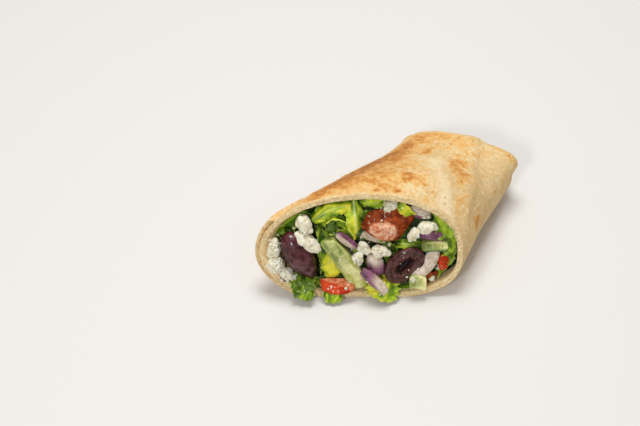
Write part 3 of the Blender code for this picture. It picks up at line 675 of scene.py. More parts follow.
def tomato_finish():
    """Tomato: red to red-brown skin, salmon flesh with pale fibres, all wet, with a few painted whitish
    glints.
    """
    m = Finish(
        "tomato_flesh", Subsurface_Weight=0.1, Subsurface_Scale=0.002, Coat_Roughness=0.06,
        Specular_IOR_Level=0.15,
    )
    skin, deep = m.tint("skin"), m.tint("deep")
    fibre, fine = m.noise(2.4, 5, 0.65), m.noise(0.6, 3)
    flesh = m.mix(fibre.step(0.35, 0.7), (0.50, 0.085, 0.018), (0.80, 0.35, 0.16))
    salmon = m.mix(fibre.step(0.38, 0.62), (0.58, 0.15, 0.05), (0.90, 0.53, 0.34))
    red = m.mix(m.noise(4, 3).step(0.35, 0.65), (0.44, 0.022, 0.003), (0.66, 0.065, 0.008))
    brown = m.mix(fibre.step(0.35, 0.65), (0.13, 0.013, 0.001), (0.42, 0.068, 0.006))
    red = m.mix(deep, red, brown)
    surface = m.mix(skin, m.mix(deep, flesh, salmon), red)
    # Painted highlight: whitish glints mixed into the tomato's colour.
    painted_glint = m.noise(1.0, 3, 0.6).step(0.60, 0.70) * m.noise(4, 2).step(0.44, 0.56)
    return m.wear(
        Base_Color=m.mix(painted_glint * 0.75, surface, (0.94, 0.82, 0.70)),
        Roughness=0.26 + fine * 0.2,
        Coat_Weight=m.noise(2.5, 3).step(0.52, 0.66) * 0.5,
        Normal=m.raised(fibre + fine * 0.4, 0.45),
    )


def cucumber_finish():
    """Cucumber: watery flesh, yellower where it is ripe, greener towards a dark skin, streaked and wet."""
    m = Finish("cucumber_flesh", Subsurface_Weight=0.2, Subsurface_Scale=0.003, Coat_Roughness=0.08)
    skin, seed, ripe, streak = m.tint("skin"), m.tint("seed"), m.tint("ripe"), m.tint("streak")
    cloud, fine = m.noise(2.6, 5, 0.68), m.noise(0.5, 3)
    light = (cloud * 0.4 + streak * 0.6).step(0.38, 0.62)
    green = m.mix(light, (0.13, 0.19, 0.018), (0.44, 0.48, 0.13))
    yellow = m.mix(light, (0.45, 0.45, 0.075), (0.92, 0.87, 0.44))
    flesh = m.mix(ripe, green, yellow)
    flesh = m.mix(skin.step(0.2, 0.8), flesh, (0.24, 0.36, 0.045))
    flesh = m.mix(skin.step(0.75, 0.92), flesh, (0.03, 0.09, 0.010))
    flesh = m.mix(seed * 0.18, flesh, (0.80, 0.80, 0.46))
    return m.wear(
        Base_Color=flesh,
        Roughness=0.22 + fine * 0.2,
        Coat_Weight=m.noise(3, 3).step(0.45, 0.6) * 0.7,
        Normal=m.raised(cloud * 0.6 + fine * 0.3 + seed * 0.3 + streak * 0.5, 0.4),
    )


def onion_finish():
    """Red onion: milky flesh with fine lines, and purple where the skin side shows."""
    m = Finish("red_onion", Subsurface_Weight=0.25, Subsurface_Scale=0.003, Coat_Roughness=0.08)
    purple, line = m.tint("purple"), m.tint("line")
    cloud, fine = m.noise(2.5, 4, 0.6), m.noise(0.5, 3)
    flesh = m.mix(cloud.step(0.35, 0.7), (0.54, 0.43, 0.30), (0.88, 0.79, 0.64))
    flesh = m.mix(line * 0.3, flesh, (0.46, 0.30, 0.32))
    wine = m.mix(cloud.step(0.35, 0.65), (0.085, 0.014, 0.045), (0.30, 0.10, 0.20))
    share = (purple + (cloud - 0.5) * 0.5).step(0.3, 0.75)
    return m.wear(
        Base_Color=m.mix(share, flesh, wine),
        Roughness=0.2 + fine * 0.2,
        Coat_Weight=m.noise(4, 2).step(0.4, 0.6) * 0.6,
        Normal=m.raised(cloud * 0.6 + fine * 0.3 + line * 0.4, 0.3),
    )


def feta_finish():
    """Feta: chalky white grains with cream hollows between them, darkened there as painted shade."""
    m = Finish("feta_cheese", Subsurface_Weight=0.15, Subsurface_Scale=0.0015, Specular_IOR_Level=0.3)
    cloud, fine = m.noise(1.8, 5, 0.65), m.noise(0.45, 3, 0.7)
    white = m.mix(cloud.step(0.3, 0.55), (0.80, 0.70, 0.45), (0.96, 0.92, 0.76))
    # Painted shade: the hollows between the grains are darker cream.
    white = m.mix(m.tint("hollow") * 0.35, white, (0.62, 0.54, 0.30))
    return m.wear(
        Base_Color=white,
        Roughness=0.5 + fine * 0.3,
        Normal=m.raised(cloud + fine * 0.7, 0.5),
    )


# The flatbread.

def lap(along, turn):
    """Thickness of the outer flap at a place on the roll: a rounded free edge, then thinner to its foot."""
    edge = smooth_step((turn - FLAP_TOP) / math.radians(1.6))
    foot = smooth_step((FLAP_FOOT - turn) / math.radians(30))
    cap = np.clip(along - 1, 0, 1) * math.pi / 2
    return FLAP * edge * foot * (1 - 0.65 * smooth_step(along)) * np.cos(cap)


def roll_bulges(body, along, turn):
    """How far the roll bulges past its plain section on top: shallow dents, a ridge that climbs it and an
    ear at the closed end's corner."""
    dents = 0.7 * np.sin(7 * body + 3 * np.cos(turn)) * np.sin(2.3 * turn + 4 * body)
    ear = 4.4 * bump(turn, math.radians(30), math.radians(22)) * bump(along, 1.2, 0.35)
    ridge = 1.4 * bump(turn, np.radians(12 + 62 * body), math.radians(9)) * smooth_step(body / 0.2)
    return (dents + ridge + ear) * smooth_step(body / 0.15) * smooth_step(np.sin(turn) / 0.3)


def roll_surface(along, turn, push=0.0):
    """Points on the roll. along is 0 at the cut, 1 where the end starts to round and 2 at its tip.
    turn goes round the section from the right over the top; push moves the surface outwards.
    Above its widest line the section is nearly half an ellipse. Below it is a squarer half, cut off flat by
    the floor. It tapers evenly to the end, which is rounded off as a quarter circle. The flap's free edge
    sinks down the left side towards the end, and turn is stretched to follow it."""
    stretch = np.interp(turn, [0, FLAP_TOP, FLAP_FOOT, TAU], [0, 1, 0, 0])
    turn = turn + FLAP_SINK * smooth_step(along) * stretch
    body, cap = np.clip(along, 0, 1), np.clip(along - 1, 0, 1) * math.pi / 2
    right = CUT_RIGHT + body[..., None] * (END_RIGHT - CUT_RIGHT)
    left = CUT_LEFT + body[..., None] * (END_LEFT - CUT_LEFT)
    middle, half = (right + left) / 2, (right - left) / 2
    width = np.linalg.norm(half, axis=-1)
    across = half / width[..., None]
    ahead = np.stack([-across[..., 1], across[..., 0]], -1)
    lean = CUT_LEAN * (1 - smooth_step(body / 0.5))
    top = CUT_HEIGHT - (CUT_HEIGHT - END_HEIGHT) * smooth_step((body - 0.15) / 0.85)
    widest = WIDEST_SHARE * top
    c, s = np.cos(turn), np.sin(turn)
    push = push + roll_bulges(body, along, turn)

    corner = SIDE_CORNER + 0.35 * c
    x = np.where(s >= 0, c, np.sign(c) * np.abs(c) ** (2 / corner))
    x = x * (width + push) * (1 - 0.28 * (1 - np.cos(cap)))
    over = widest + (top + push - widest) * np.abs(s) ** 0.92 * (1 + 0.06 * c * (1 - body))
    under = widest - (widest + push) * 1.06 * np.abs(s) ** (2 / corner)
    up = np.where(s >= 0, over, np.maximum(under, np.maximum(-push, 0)))
    up = widest * 0.7 + (up - widest * 0.7) * np.cos(cap)
    back = (up - widest) * np.sin(lean) + np.sin(cap) * END_REACH
    level = middle + across * x[..., None] + ahead * back[..., None]
    return np.concatenate([level, (up * np.cos(lean))[..., None]], -1) + ORIGIN_SHIFT


def bread_turns():
    """Angles round the roll, closer together where the flap's free edge steps down."""
    even = np.linspace(0, TAU, BREAD_TURNS, endpoint=False)
    step = math.radians(3)
    near_edge = np.linspace(FLAP_TOP - step, FLAP_TOP + step, 15)
    return np.sort(np.concatenate([even[np.abs(even - FLAP_TOP) > step * 1.1], near_edge]))


def toasting(along, turn):
    """How toasted the skin is: soft patches placed one by one, less what the pale ridge takes off."""
    reach, degrees = along * ROLL_LENGTH, np.degrees(turn)
    total = sum(
        strength * bump(reach, at, length) * bump(degrees, round_at, wide)
        for at, round_at, length, wide, strength in TOAST
    )
    # The pale ridge's share, taken off here, is partly untoasted skin and partly painted highlight.
    return (total - PALE_RIDGE[3] * pale_ridge(along, turn)) * smooth_step(reach / 3)


def pale_ridge(along, turn):
    """The share of a place that lies on the soft pale ridge, which climbs the roll away from the cut. Its
    paleness is partly untoasted skin and partly painted highlight.
    """
    start, climb, wide, _ = PALE_RIDGE
    reach = along * ROLL_LENGTH
    return bump(np.degrees(turn), start + climb * reach, wide) * smooth_step((62 - reach) / 15)


def rim_rings(turn):
    """The rings of the wall of the hollow, the cut rim with its crumb, a crease and the flap's own rim, as
    (place along the roll, push outwards, how much is rim, how much is crease)."""
    share = lap(np.zeros_like(turn), turn) / FLAP
    wall = np.concatenate([np.linspace(CAVITY_END * ROLL_LENGTH, 6, 14), [4, 2.6, 1.5, 0.8]])
    rows = [(deep, -BREAD, 0.6, 0) for deep in wall]
    rows += [(deep, -BREAD + out * BREAD, 1, 0) for deep, out in ((0.3, 0.03), (0.08, 0.12), (0, 0.28))]
    rows += [(0, -BREAD + out * BREAD, 1, 0) for out in np.linspace(0.38, 0.86, 8)]
    rows += [
        (0.06, -0.24, 1, 0.2),
        (0.25, -0.08, 0.6 + 0.4 * share, 0.6),
        (0.6, 0, 0.15 + 0.85 * share, 0.9),
        (0.9 + 1.6 * share, -0.25 * share, 0.05 + 0.95 * share, 1),
        (1.1 + 1.2 * share, 0.15 * share, share, 1),
    ]
    flap_rim = ((0.35, 0.12, 0.8), (0.1, 0.3, 0.5), (0, 0.55, 0.2), (0.05, 0.78, 0), (0.35, 0.94, 0))
    for deep, out, seam in flap_rim:
        step = 1.1 + 0.8 * out * (1 - share) + deep * share
        rows.append((step, out * share * FLAP, share, seam))
    rows += [(deep, share * FLAP, rim * share, 0) for deep, rim in ((2.1, 0.4), (2.5, 0), (3.0, 0))]
    deep, push, rim, seam = (np.array([value + 0 * turn for value in column]) for column in zip(*rows))
    return deep / ROLL_LENGTH, push, rim, seam * share


def skin_relief(plain, along, turns):
    """How far the skin is raised: soft waves and fine wrinkles, blisters on the upper half, pleats and a
    tuck at the closed end, and the pale ridge."""
    top = smooth_step(plain[..., 2] / 12)
    upper = smooth_step((plain[..., 2] - 25) / 15)
    waves = 0.40 * rough(plain, 17, 3) + 0.14 * rough(plain, 4.5, 5) + 0.05 * rough(plain, 1.4, 9, 2)
    blisters = 0.5 * smooth_step((grain(plain, 7, 21) - 0.62) / 0.25) * upper
    round_end = np.sin(turns * 7 + 2 * np.sin(turns * 3))
    pleats = -0.9 * smooth_step((along - 1.0) / 0.5) * smooth_step((round_end - 0.2) / 0.9)
    tuck = -1.3 * smooth_step((along - 1.28 - 0.12 * np.cos(turns - 1.3) - 0.03 * np.sin(turns * 5)) / 0.05)
    return waves * top + blisters + (pleats + tuck) * top + 0.35 * pale_ridge(along, turns)


def bread(finish):
    """The flatbread: the rings of its rim, then those of the skin back to the closed end, with relief on
    the skin, a ragged outline at the cut and a crumbly rim."""
    turn = bread_turns()
    rim_along, rim_push, rim, seam = rim_rings(turn)
    body = np.linspace(SKIN_START / ROLL_LENGTH, 1, BREAD_RINGS)
    cap = np.linspace(1, END_TIP, END_RINGS)[1:]
    skin_along = np.concatenate([body, cap])[:, None] + 0 * turn
    along = np.concatenate([rim_along, skin_along])
    push = np.concatenate([rim_push, lap(skin_along, turn[None])])
    rim, seam = (np.concatenate([share, np.zeros_like(skin_along)]) for share in (rim, seam))
    turns = np.broadcast_to(turn, along.shape)

    plain = roll_surface(along, turns)
    outside = smooth_step((along * ROLL_LENGTH - 1.5) / 6) * (push >= 0)
    near_cut = smooth_step((8 - along * ROLL_LENGTH) / 6)
    ragged = (0.22 * rough(plain, 9, 29, 2) + 0.16 * rough(plain, 2.4, 31, 2)) * near_cut
    points = roll_surface(along, turns, push + skin_relief(plain, along, turns) * outside + ragged)
    crumb = (0.20 * rough(points, 1.5, 41, 2) - 0.10) * smooth_step((rim - 0.6) / 0.3) * near_cut
    points = points + crumb[..., None] * FACE_OUT
    points[..., 2] = np.maximum(points[..., 2], 0.0)

    skin, faces = closed_rings(points)
    tints = {"toast": toasting(along, turns), "rim": rim, "seam": seam}
    tints = {name: np.append(values.ravel(), [0, 0]) for name, values in tints.items()}
    return make_piece("flatbread", skin, faces, finish, ["tortilla"], tints)


# The salad.

def strip_frame(spine, facing, t):
    """The line of a strip with the directions along it, across it and out of it."""
    line = bezier(spine, t)
    ahead = unit(np.gradient(line, axis=0))
    side = unit(np.cross(ahead, unit(np.asarray(facing, float))))
    return line, side, np.cross(side, ahead)


def thin_solid(sheet, normal, thickness):
    """(points, faces) of a sheet given an upper and a lower side and closed round its rim."""
    rows, columns = sheet.shape[:2]
    upper, lower = sheet + normal * thickness[..., None] / 2, sheet - normal * thickness[..., None] / 2
    size = rows * columns
    quads = grid_quads(rows, columns, False)
    rim = np.concatenate([
        np.arange(columns),
        np.arange(1, rows) * columns + columns - 1,
        (rows - 1) * columns + np.arange(columns - 2, -1, -1),
        np.arange(rows - 2, 0, -1) * columns,
    ])
    after = np.roll(rim, -1)
    edge = np.stack([rim, rim + size, after + size, after], -1)
    points = np.vstack([upper.reshape(-1, 3), lower.reshape(-1, 3)])
    return points, [quads, quads[:, ::-1] + size, edge]


def tuck_in(points):
    """Draws places behind the cut in towards the middle of the hollow, to within a gap of the bread."""
    turn = np.linspace(0, TAU, 180)
    rim = roll_surface(np.full_like(turn, 0.03), turn, -BREAD - 0.9)
    rim = (rim - ORIGIN_SHIFT) @ np.linalg.inv(FACE_AXES)
    middle = rim[:, :2].mean(0)
    edge, spot = rim[:, :2] - middle, points[..., :2] - middle
    ways = np.arctan2(edge[:, 1], edge[:, 0])
    order = np.argsort(ways)
    far = np.linalg.norm(edge, axis=-1)
    room = np.interp(np.arctan2(spot[..., 1], spot[..., 0]), ways[order], far[order], period=TAU)
    share = np.minimum(1, room / np.maximum(np.linalg.norm(spot, axis=-1), 1e-6))
    share = 1 - (1 - share) * smooth_step((1.2 - points[..., 2]) / 0.8)
    return np.concatenate([middle + spot * share[..., None], points[..., 2:]], -1)


def leaf_marks(tt, uu, flat, length, width, rib, seed):
    """How high a leaf's creases, the side veins that run out from its rib, and the rib itself are."""
    fold = 1 - 2 * np.abs(rough(flat * (0.38, 1.1, 1), 4.6, seed, 2))
    spread = tt * length - 0.55 * np.abs(uu) * width / 2
    vein = smooth_step((np.cos(TAU * spread / 3.2) - 0.72) / 0.28) * smooth_step((1 - np.abs(uu)) / 0.3)
    midrib = np.exp(-((uu / (0.10 + 0.10 * (1 - tt))) ** 2)) * rib
    return fold, vein, midrib


def leaf_tints(depth, uu, tone, fold, vein, midrib):
    """What colours a leaf, for its upper and its lower side: darker and plainer with depth behind the cut,
    which is painted shade."""
    tints = {
        "tone": tone - depth,
        "rib": midrib * (1 - depth),
        "vein": vein * (1 - midrib) * (1 - 2 * depth),
        "edge": np.abs(uu) * (1 - 0.5 * depth),
        # Painted shade and light for the creases and their crests.
        "fold": fold - 0.5,
    }
    return {name: np.tile(values.ravel(), 2) for name, values in tints.items()}


def leaf(spine, width, facing, cup, ruffle, waves, tone, rib, seed, grid=LEAF_GRID):
    """A romaine leaf along its spine. Across it the leaf is cupped by cup * u squared and ruffled by sine
    waves that grow towards its edges; sharp creases pucker it, and side veins run out from a raised rib."""
    t, u = np.linspace(0, 1, grid[0]), np.linspace(-1, 1, grid[1])
    line, side, normal = strip_frame(spine, facing, t)
    tt, uu = np.meshgrid(t, u, indexing="ij")
    phase = 1.7 * seed
    reach = width / 2 * (0.62 + 0.38 * np.sin(math.pi * t) ** 0.7)
    lobes = 1 + 0.10 * np.sin(TAU * (waves * 1.7 * tt + 0.2 * uu) + phase) * np.abs(uu) ** 2
    lobes = lobes + 0.025 * np.sin(TAU * (waves * 4.3 * tt) + 2 * phase) * np.abs(uu) ** 3
    lift = cup * uu**2 + ruffle * uu * np.abs(uu) * np.sin(TAU * waves * tt)
    lift = lift + 0.6 * ruffle * np.abs(uu) ** 3 * np.sin(TAU * 2.6 * waves * tt + phase + 2 * uu)
    length = np.linalg.norm(np.asarray(spine[-1]) - np.asarray(spine[0]))
    flat = np.stack([tt * length * 1.3, uu * width / 2, np.full_like(tt, seed * 9.0)], -1)
    fold, vein, midrib = leaf_marks(tt, uu, flat, length, width, rib, seed)
    crease = 0.35 + 0.8 * ruffle
    lift = lift + crease * (fold - 0.4) * smooth_step(np.abs(uu) / 0.25)
    lift = lift + 0.10 * rough(flat, 1.8, seed + 3, 2)
    lift = lift + 0.45 * midrib - 0.12 * vein
    sheet = line[:, None] + side[:, None] * (reach[:, None] * lobes * uu)[..., None]
    sheet = tuck_in(sheet + normal[:, None] * lift[..., None])
    thickness = 0.28 + 0.2 * (1 - np.abs(uu)) + 0.5 * midrib
    points, faces = thin_solid(sheet, np.broadcast_to(normal[:, None], sheet.shape), thickness)
    # Painted shade: deeper behind the cut, a leaf is darker and plainer.
    depth = 0.40 * smooth_step((-3.0 - sheet[..., 2]) / 4.0)
    return on_face(points), faces, leaf_tints(depth, uu, tone, fold, vein, midrib)


def scraps():
    """Scraps of leaf that fill the gaps between the named leaves, scattered over the cut face."""
    draw = np.random.default_rng(11)
    made = []
    while len(made) < SCRAPS:
        right, up = draw.uniform(-38, 42), draw.uniform(6, 46)
        if ((right - 1.5) / 40) ** 2 + ((up - 25) / 21.5) ** 2 > 1:
            continue
        turn, length = draw.uniform(0, math.pi), draw.uniform(5, 12)
        ahead = np.array([math.cos(turn), math.sin(turn), 0]) * length / 2
        middle = np.array([right, up, draw.uniform(-8.0, -4.2)])
        arch = [0, 0, draw.uniform(0.3, 2.4)]
        spine = [middle - ahead, middle + arch, middle + ahead]
        facing = (draw.uniform(-0.8, 0.8), draw.uniform(-0.3, 0.9), 1)
        # Scrap tones lean dark: leaf colour, and painted shade in the gaps between the named leaves.
        tone = draw.choice([0.12, 0.22, 0.32, 0.45, 0.6])
        width, cup, rib = draw.uniform(2.4, 5.5), draw.uniform(-1.4, 1.4), draw.uniform(0, 0.6)
        made.append(leaf(spine, width, facing, cup, 0.9, 2, tone, rib, 40 + len(made), SCRAP_GRID))
    return made


def salad_core():
    """The salad behind the leaves: a plug whose front is broken up by noise."""
    turn = np.linspace(0, TAU, 120, endpoint=False)
    front = [on_core(turn, share) for share in np.linspace(0.03, 1, 44)]
    along = np.linspace(0.15, CAVITY_END, 12)
    sides = [roll_surface(np.full_like(turn, a), turn, -BREAD - 0.8) for a in along]
    return closed_rings(front + sides)


def on_core(turn, share):
    """A ring on the front of the plug, share of the way from its middle to the bread."""
    rim = roll_surface(np.full_like(turn, 0.1), turn, -BREAD - 0.5)
    middle = rim.mean(0)
    points = middle + (rim - middle) * share
    heap = 2.2 * rough(points, 6, 51, 4) + 0.6 * (1 - share**2)
    return points + heap[:, None] * FACE_OUT * smooth_step((1.02 - share) / 0.2)


def romaine(leaf_material, core_material):
    """The named leaves, the scraps between them and the shaded salad behind, as three pieces."""
    points, faces, tints = joined([leaf(*shape, seed) for seed, shape in enumerate(LEAVES.values())])
    leaves = make_piece("romaine_leaves", points, faces, leaf_material, ["romaine"], tints)
    points, faces, tints = joined(scraps())
    loose = make_piece("romaine_scraps", points, faces, leaf_material, tints=tints)
    points, faces = salad_core()
    # The salad behind, coloured as painted shade.
    heap = make_piece("romaine_heap_in_painted_shade", points, faces, core_material)
    return [leaves, loose, heap]


def olive_frame(ends):
    """(middle, half length, and the three directions) of an olive between its ends."""
    a, b = (np.asarray(e, float) for e in ends)
    ahead = unit(b - a)
    side = unit(np.cross(ahead, [0, 0, 1.0]))
    return (a + b) / 2, np.linalg.norm(b - a) / 2, ahead, side, np.cross(side, ahead)


def whole_olive(finish):
    """A Kalamata olive: a turned profile, round at the stalk and drawn out to a point, a little creased."""
    middle, half, ahead, side, out = olive_frame(OLIVE_LEFT_ENDS)
    t = np.cos(np.linspace(math.pi, 0, 64)[1:-1])[:, None]
    angle = np.linspace(0, TAU, 72, endpoint=False)[None]
    radius = OLIVE_LEFT_RADIUS * np.sqrt(1 - t * t) * (1 - 0.2 * np.maximum(t, 0) ** 2) * (1 - 0.08 * t)
    radius = radius * (1 + 0.012 * np.sin(5 * angle + 3 * t) + 0.010 * np.sin(9 * angle - 4 * t))
    ways = np.cos(angle)[..., None] * side + np.sin(angle)[..., None] * out
    rings = middle + ahead * (half * t)[..., None] + radius[..., None] * ways
    rings = rings + (0.16 * rough(rings, 3.5, 61, 3))[..., None] * ways
    points, faces = closed_rings(rings)
    uncut = np.zeros(len(points))
    tints = {"cut": uncut, "pit": uncut}
    return make_piece("olive_whole", on_face(points), faces, finish, ["olive_left"], tints)


def halved_olive(finish):
    """Half an olive with its cut side out: a soft rim, a groove, a raised lip and the hollow of the stone,
    with creases that run into it."""
    middle, half, ahead, side, out = olive_frame(OLIVE_RIGHT_ENDS)
    angle = np.linspace(0, TAU, 96, endpoint=False)
    rings, cuts, pit_shades = [], [], []
    for share in np.linspace(0.03, 1, 46):
        a, b = half * share * np.cos(angle), OLIVE_RIGHT_RADIUS * share * np.sin(angle)
        hollow = 1.15 * PIT_DEPTH * np.exp(-((a / 5.4) ** 4) - (b / 1.9) ** 2)
        lip = 0.45 * bump(share, 0.5, 0.13) - 0.35 * bump(share, 0.76, 0.08)
        lip = lip + 0.35 * bump(share, 0.92, 0.07)
        creases = 0.28 * np.sin(13 * angle + 2 * np.sin(3 * angle)) * bump(share, 0.48, 0.22)
        rise = 1.6 * (1 - share**2) - hollow + lip + creases
        spot = middle + a[:, None] * ahead + b[:, None] * side + rise[:, None] * out
        spot = spot + (0.22 * rough(spot, 2.2, 71, 3) * (1 - share**6))[:, None] * out
        rings.append(spot)
        cuts.append(np.full(len(angle), float(smooth_step((0.97 - share) / 0.1))))
        # The pit's share, for its painted shade.
        pit_shades.append(hollow / (1.15 * PIT_DEPTH))
    for deep in np.radians(np.linspace(6, 84, 16)):
        a, b = half * np.cos(deep) * np.cos(angle), OLIVE_RIGHT_RADIUS * np.cos(deep) * np.sin(angle)
        rings.append(middle + a[:, None] * ahead + b[:, None] * side - out * 7.0 * math.sin(deep))
        cuts.append(np.zeros(len(angle)))
        pit_shades.append(np.zeros(len(angle)))
    points, faces = closed_rings(rings)
    tints = {"cut": np.array(cuts), "pit": np.array(pit_shades)}
    tints = {tint: np.append(values.ravel(), [1, 0]) for tint, values in tints.items()}
    return make_piece("olive_halved", on_face(points), faces, finish, ["olive_right"], tints)


def hull_planes(corners):
    """The planes (ways, distances from the middle) of the smallest bulging-out solid round some corners."""
    shape = bmesh.new()
    for corner in corners:
        shape.verts.new(corner)
    made = bmesh.ops.convex_hull(shape, input=shape.verts)
    spare = {g for g in made["geom_interior"] + made["geom_unused"] if isinstance(g, bmesh.types.BMVert)}
    bmesh.ops.delete(shape, geom=list(spare), context="VERTS")
    bmesh.ops.dissolve_limit(shape, angle_limit=math.radians(6), verts=shape.verts[:], edges=shape.edges[:])
    bmesh.ops.recalc_face_normals(shape, faces=shape.faces)
    middle = np.mean([v.co for v in shape.verts], axis=0)
    ways = np.array([f.normal for f in shape.faces])
    spots = np.array([f.calc_center_median() for f in shape.faces])
    shape.free()
    return middle, ways, np.einsum("ij,ij->i", spots - middle, ways)


def ball_ways(rows, columns):
    """Directions over a ball, as rings from its back to its front."""
    tilt = np.linspace(-math.pi / 2, math.pi / 2, rows + 2)[1:-1, None]
    angle = np.linspace(0, TAU, columns, endpoint=False)[None]
    flat = np.cos(tilt)
    return np.stack([flat * np.cos(angle), flat * np.sin(angle), np.sin(tilt) + 0 * angle], -1)


def tomato_piece(name, corners, finish, seed):
    """A cut piece of tomato. Along each direction its surface lies where the planes of its sides, taken
    together as a high power mean, are reached; so its edges are soft. Fine noise roughens the flesh."""
    skin_way, skin_from, deep = TOMATO_SKIN[name]
    middle, ways, distances = hull_planes(corners)
    out = ball_ways(44, 72)
    lean = np.maximum(out @ ways.T / distances, 1e-6)
    reach = (lean**22).sum(-1) ** (-1 / 22)
    points = middle + out * reach[..., None]
    ragged = (0.05 + 0.11 * deep) * rough(out, 0.5, seed, 3)
    skin = smooth_step((out @ unit(np.array(skin_way)) - skin_from + ragged) / 0.10)
    points = points + out * (rough(points, 3.0, seed, 3) * (0.42 - 0.25 * skin))[..., None]
    solid, faces = closed_rings(points)
    tints = {"skin": np.append(skin.ravel(), [0, 0]), "deep": np.full(len(solid), float(deep))}
    return make_piece(name + "_piece", on_face(solid), faces, finish, [name], tints)


def round_box(v):
    """A cosine or sine pushed out from a circle towards a square."""
    return np.sign(v) * np.abs(v) ** 0.30


def turned(points, degrees):
    """Places on the cut face after a turn about its way out."""
    c, s = math.cos(math.radians(degrees)), math.sin(math.radians(degrees))
    return points @ np.array([[c, s, 0], [-s, c, 0], [0, 0, 1]])


def cucumber_piece(name, middle, half_length, half_width, half_depth, turn, skin_way, skew, finish, seed):
    """A cut piece of cucumber: a rounded box carried along a slightly bowed line, with its ends slanted by
    skew, shallow seed ovals and streaks along it."""
    end = 0.12 * np.linspace(0.1, 1, 8) ** 1.6
    t = np.concatenate([end - 1, np.linspace(-0.86, 0.86, 46), 1 - end[::-1]])
    angle = np.linspace(0, TAU, 64, endpoint=False)
    tt, aa = np.meshgrid(t, angle, indexing="ij")
    inset = (1 - np.abs(tt) ** 22) ** 0.5
    ways = np.stack([0 * tt, round_box(np.cos(aa)), round_box(np.sin(aa))], -1)
    taper = 1 - 0.14 * tt**2
    across = half_width * inset * taper * ways[..., 1] + 0.24 * half_width * (1 - tt * tt)
    along = half_length * (tt + 0.16 * skew * across / half_width * np.abs(tt))
    local = np.stack([along, across, half_depth * inset * ways[..., 2]], -1)
    ovals = np.cos(TAU * local[..., 0] / 3.4 + 1.5 * np.sign(ways[..., 1]))
    seeds = smooth_step((ovals - 0.45) / 0.4) * (np.abs(ways[..., 1]) < 0.55) * (ways[..., 2] > 0)
    streaks = 0.5 + 0.5 * rough(local * (0.22, 1, 1), 1.5, seed + 5, 2)
    out = unit(ways + np.stack([0.4 * np.sign(tt) * np.abs(tt) ** 8, 0 * tt, 0 * tt], -1))
    local = local + out * (0.25 * rough(local, 3.2, seed, 3) + 0.15 * seeds)[..., None]
    skin = smooth_step((ways @ unit(np.array(skin_way, float)) + 0.2) / 1.15)
    points, faces = closed_rings(turned(local, turn) + np.array(middle))
    ripe = smooth_step((tt + 0.7) / 1.4)
    tints = {"skin": skin, "seed": seeds, "ripe": ripe, "streak": streaks}
    tints = {tint: np.append(values.ravel(), values[[0, -1], 0]) for tint, values in tints.items()}
    return make_piece(name + "_piece", on_face(points), faces, finish, [name], tints)


def onion_piece(name, spine, width, facing, cup, thickness, finish, seed):
    """A cut strip of onion: a curved strip with fine lines along it. Its thickness stays even and then
    falls off at the sides and ends, as 1 less a high power of the distance from the middle."""
    t, u = np.linspace(0, 1, 44), np.linspace(-1, 1, 25)
    line, side, normal = strip_frame(spine, facing, t)
    tt, uu = np.meshgrid(t, u, indexing="ij")
    reach = width / 2 * (0.62 + 0.38 * np.sin(math.pi * t) ** 0.7)
    flat = np.stack([tt * 14, uu * 4, 0 * tt + seed], -1)
    lift = cup * uu**2 + 0.10 * np.sin(TAU * 2.5 * uu + seed) + 0.2 * rough(flat, 4, seed)
    sheet = line[:, None] + side[:, None] * (reach[:, None] * uu)[..., None]
    sheet = sheet + normal[:, None] * lift[..., None]
    ends = (1 - (2 * np.abs(tt - 0.5)) ** 12) ** 0.5
    solid = thickness * ((1 - np.abs(uu) ** 5) ** 0.5 * ends * 0.85 + 0.15)
    points, faces = thin_solid(sheet, np.broadcast_to(normal[:, None], sheet.shape), solid)
    *lengthways, along_side = ONION_PURPLE[name]
    purple = np.interp(tt, [0, 0.5, 1], lengthways)
    purple = purple + abs(along_side) * smooth_step((math.copysign(1, along_side) * uu - 0.1) / 0.7)
    lines = 0.5 + 0.5 * np.sin(TAU * 4 * uu + 0.6 * np.sin(5 * tt))
    tints = {"purple": np.tile(purple.ravel(), 2), "line": np.tile(lines.ravel(), 2)}
    return make_piece(name + "_strip", on_face(points), faces, finish, [name], tints)


def grains(points, size, seed):
    """Distance from each point to the nearest of scattered centres about size apart, as a share of size."""
    draw = np.random.default_rng(seed)
    flat = points.reshape(-1, 3)
    low, high = flat.min(0), flat.max(0)
    count = int(np.clip(np.prod((high - low) / size) * 1.3, 12, 160))
    centres = draw.uniform(low, high, (count, 3))
    gap = np.linalg.norm(flat[:, None] - centres[None], axis=-1).min(-1)
    return (gap / size).reshape(points.shape[:-1])


def feta_piece(name, middle, half_length, half_width, turn, finish, seed):
    """A broken lump of feta: a drawn-out ball, uneven in outline and built up of rounded grains."""
    out = ball_ways(52, 72)
    lumps = 0.26 * rough(out, 0.9, seed, 3)
    ball = out * (0.94 + lumps)[..., None]
    size = np.array([half_length, half_width, half_width * 0.9])
    local = ball * size
    local[..., 1] *= 1 - 0.2 * ball[..., 0]
    gap = np.clip(grains(local, 2.7, seed), 0, 1)
    local = local + out * (1.1 * (0.5 - gap**2) + 0.18 * rough(local, 1.2, seed + 9, 3))[..., None]
    points, faces = closed_rings(turned(local, turn) + np.array(middle))
    # The hollows between grains, for their painted shade.
    hollow = np.append(smooth_step((gap - 0.45) / 0.4).ravel(), [0, 0])
    return make_piece(name + "_lump", on_face(points), faces, finish, [name], {"hollow": hollow})


def small_ball():
    """(points, faces) of a ball of radius 1."""
    shape = bmesh.new()
    bmesh.ops.create_icosphere(shape, subdivisions=2, radius=1.0)
    shape.verts.index_update()
    points = np.array([v.co for v in shape.verts])
    faces = np.array([[v.index for v in f.verts] for f in shape.faces])
    shape.free()
    return points, faces


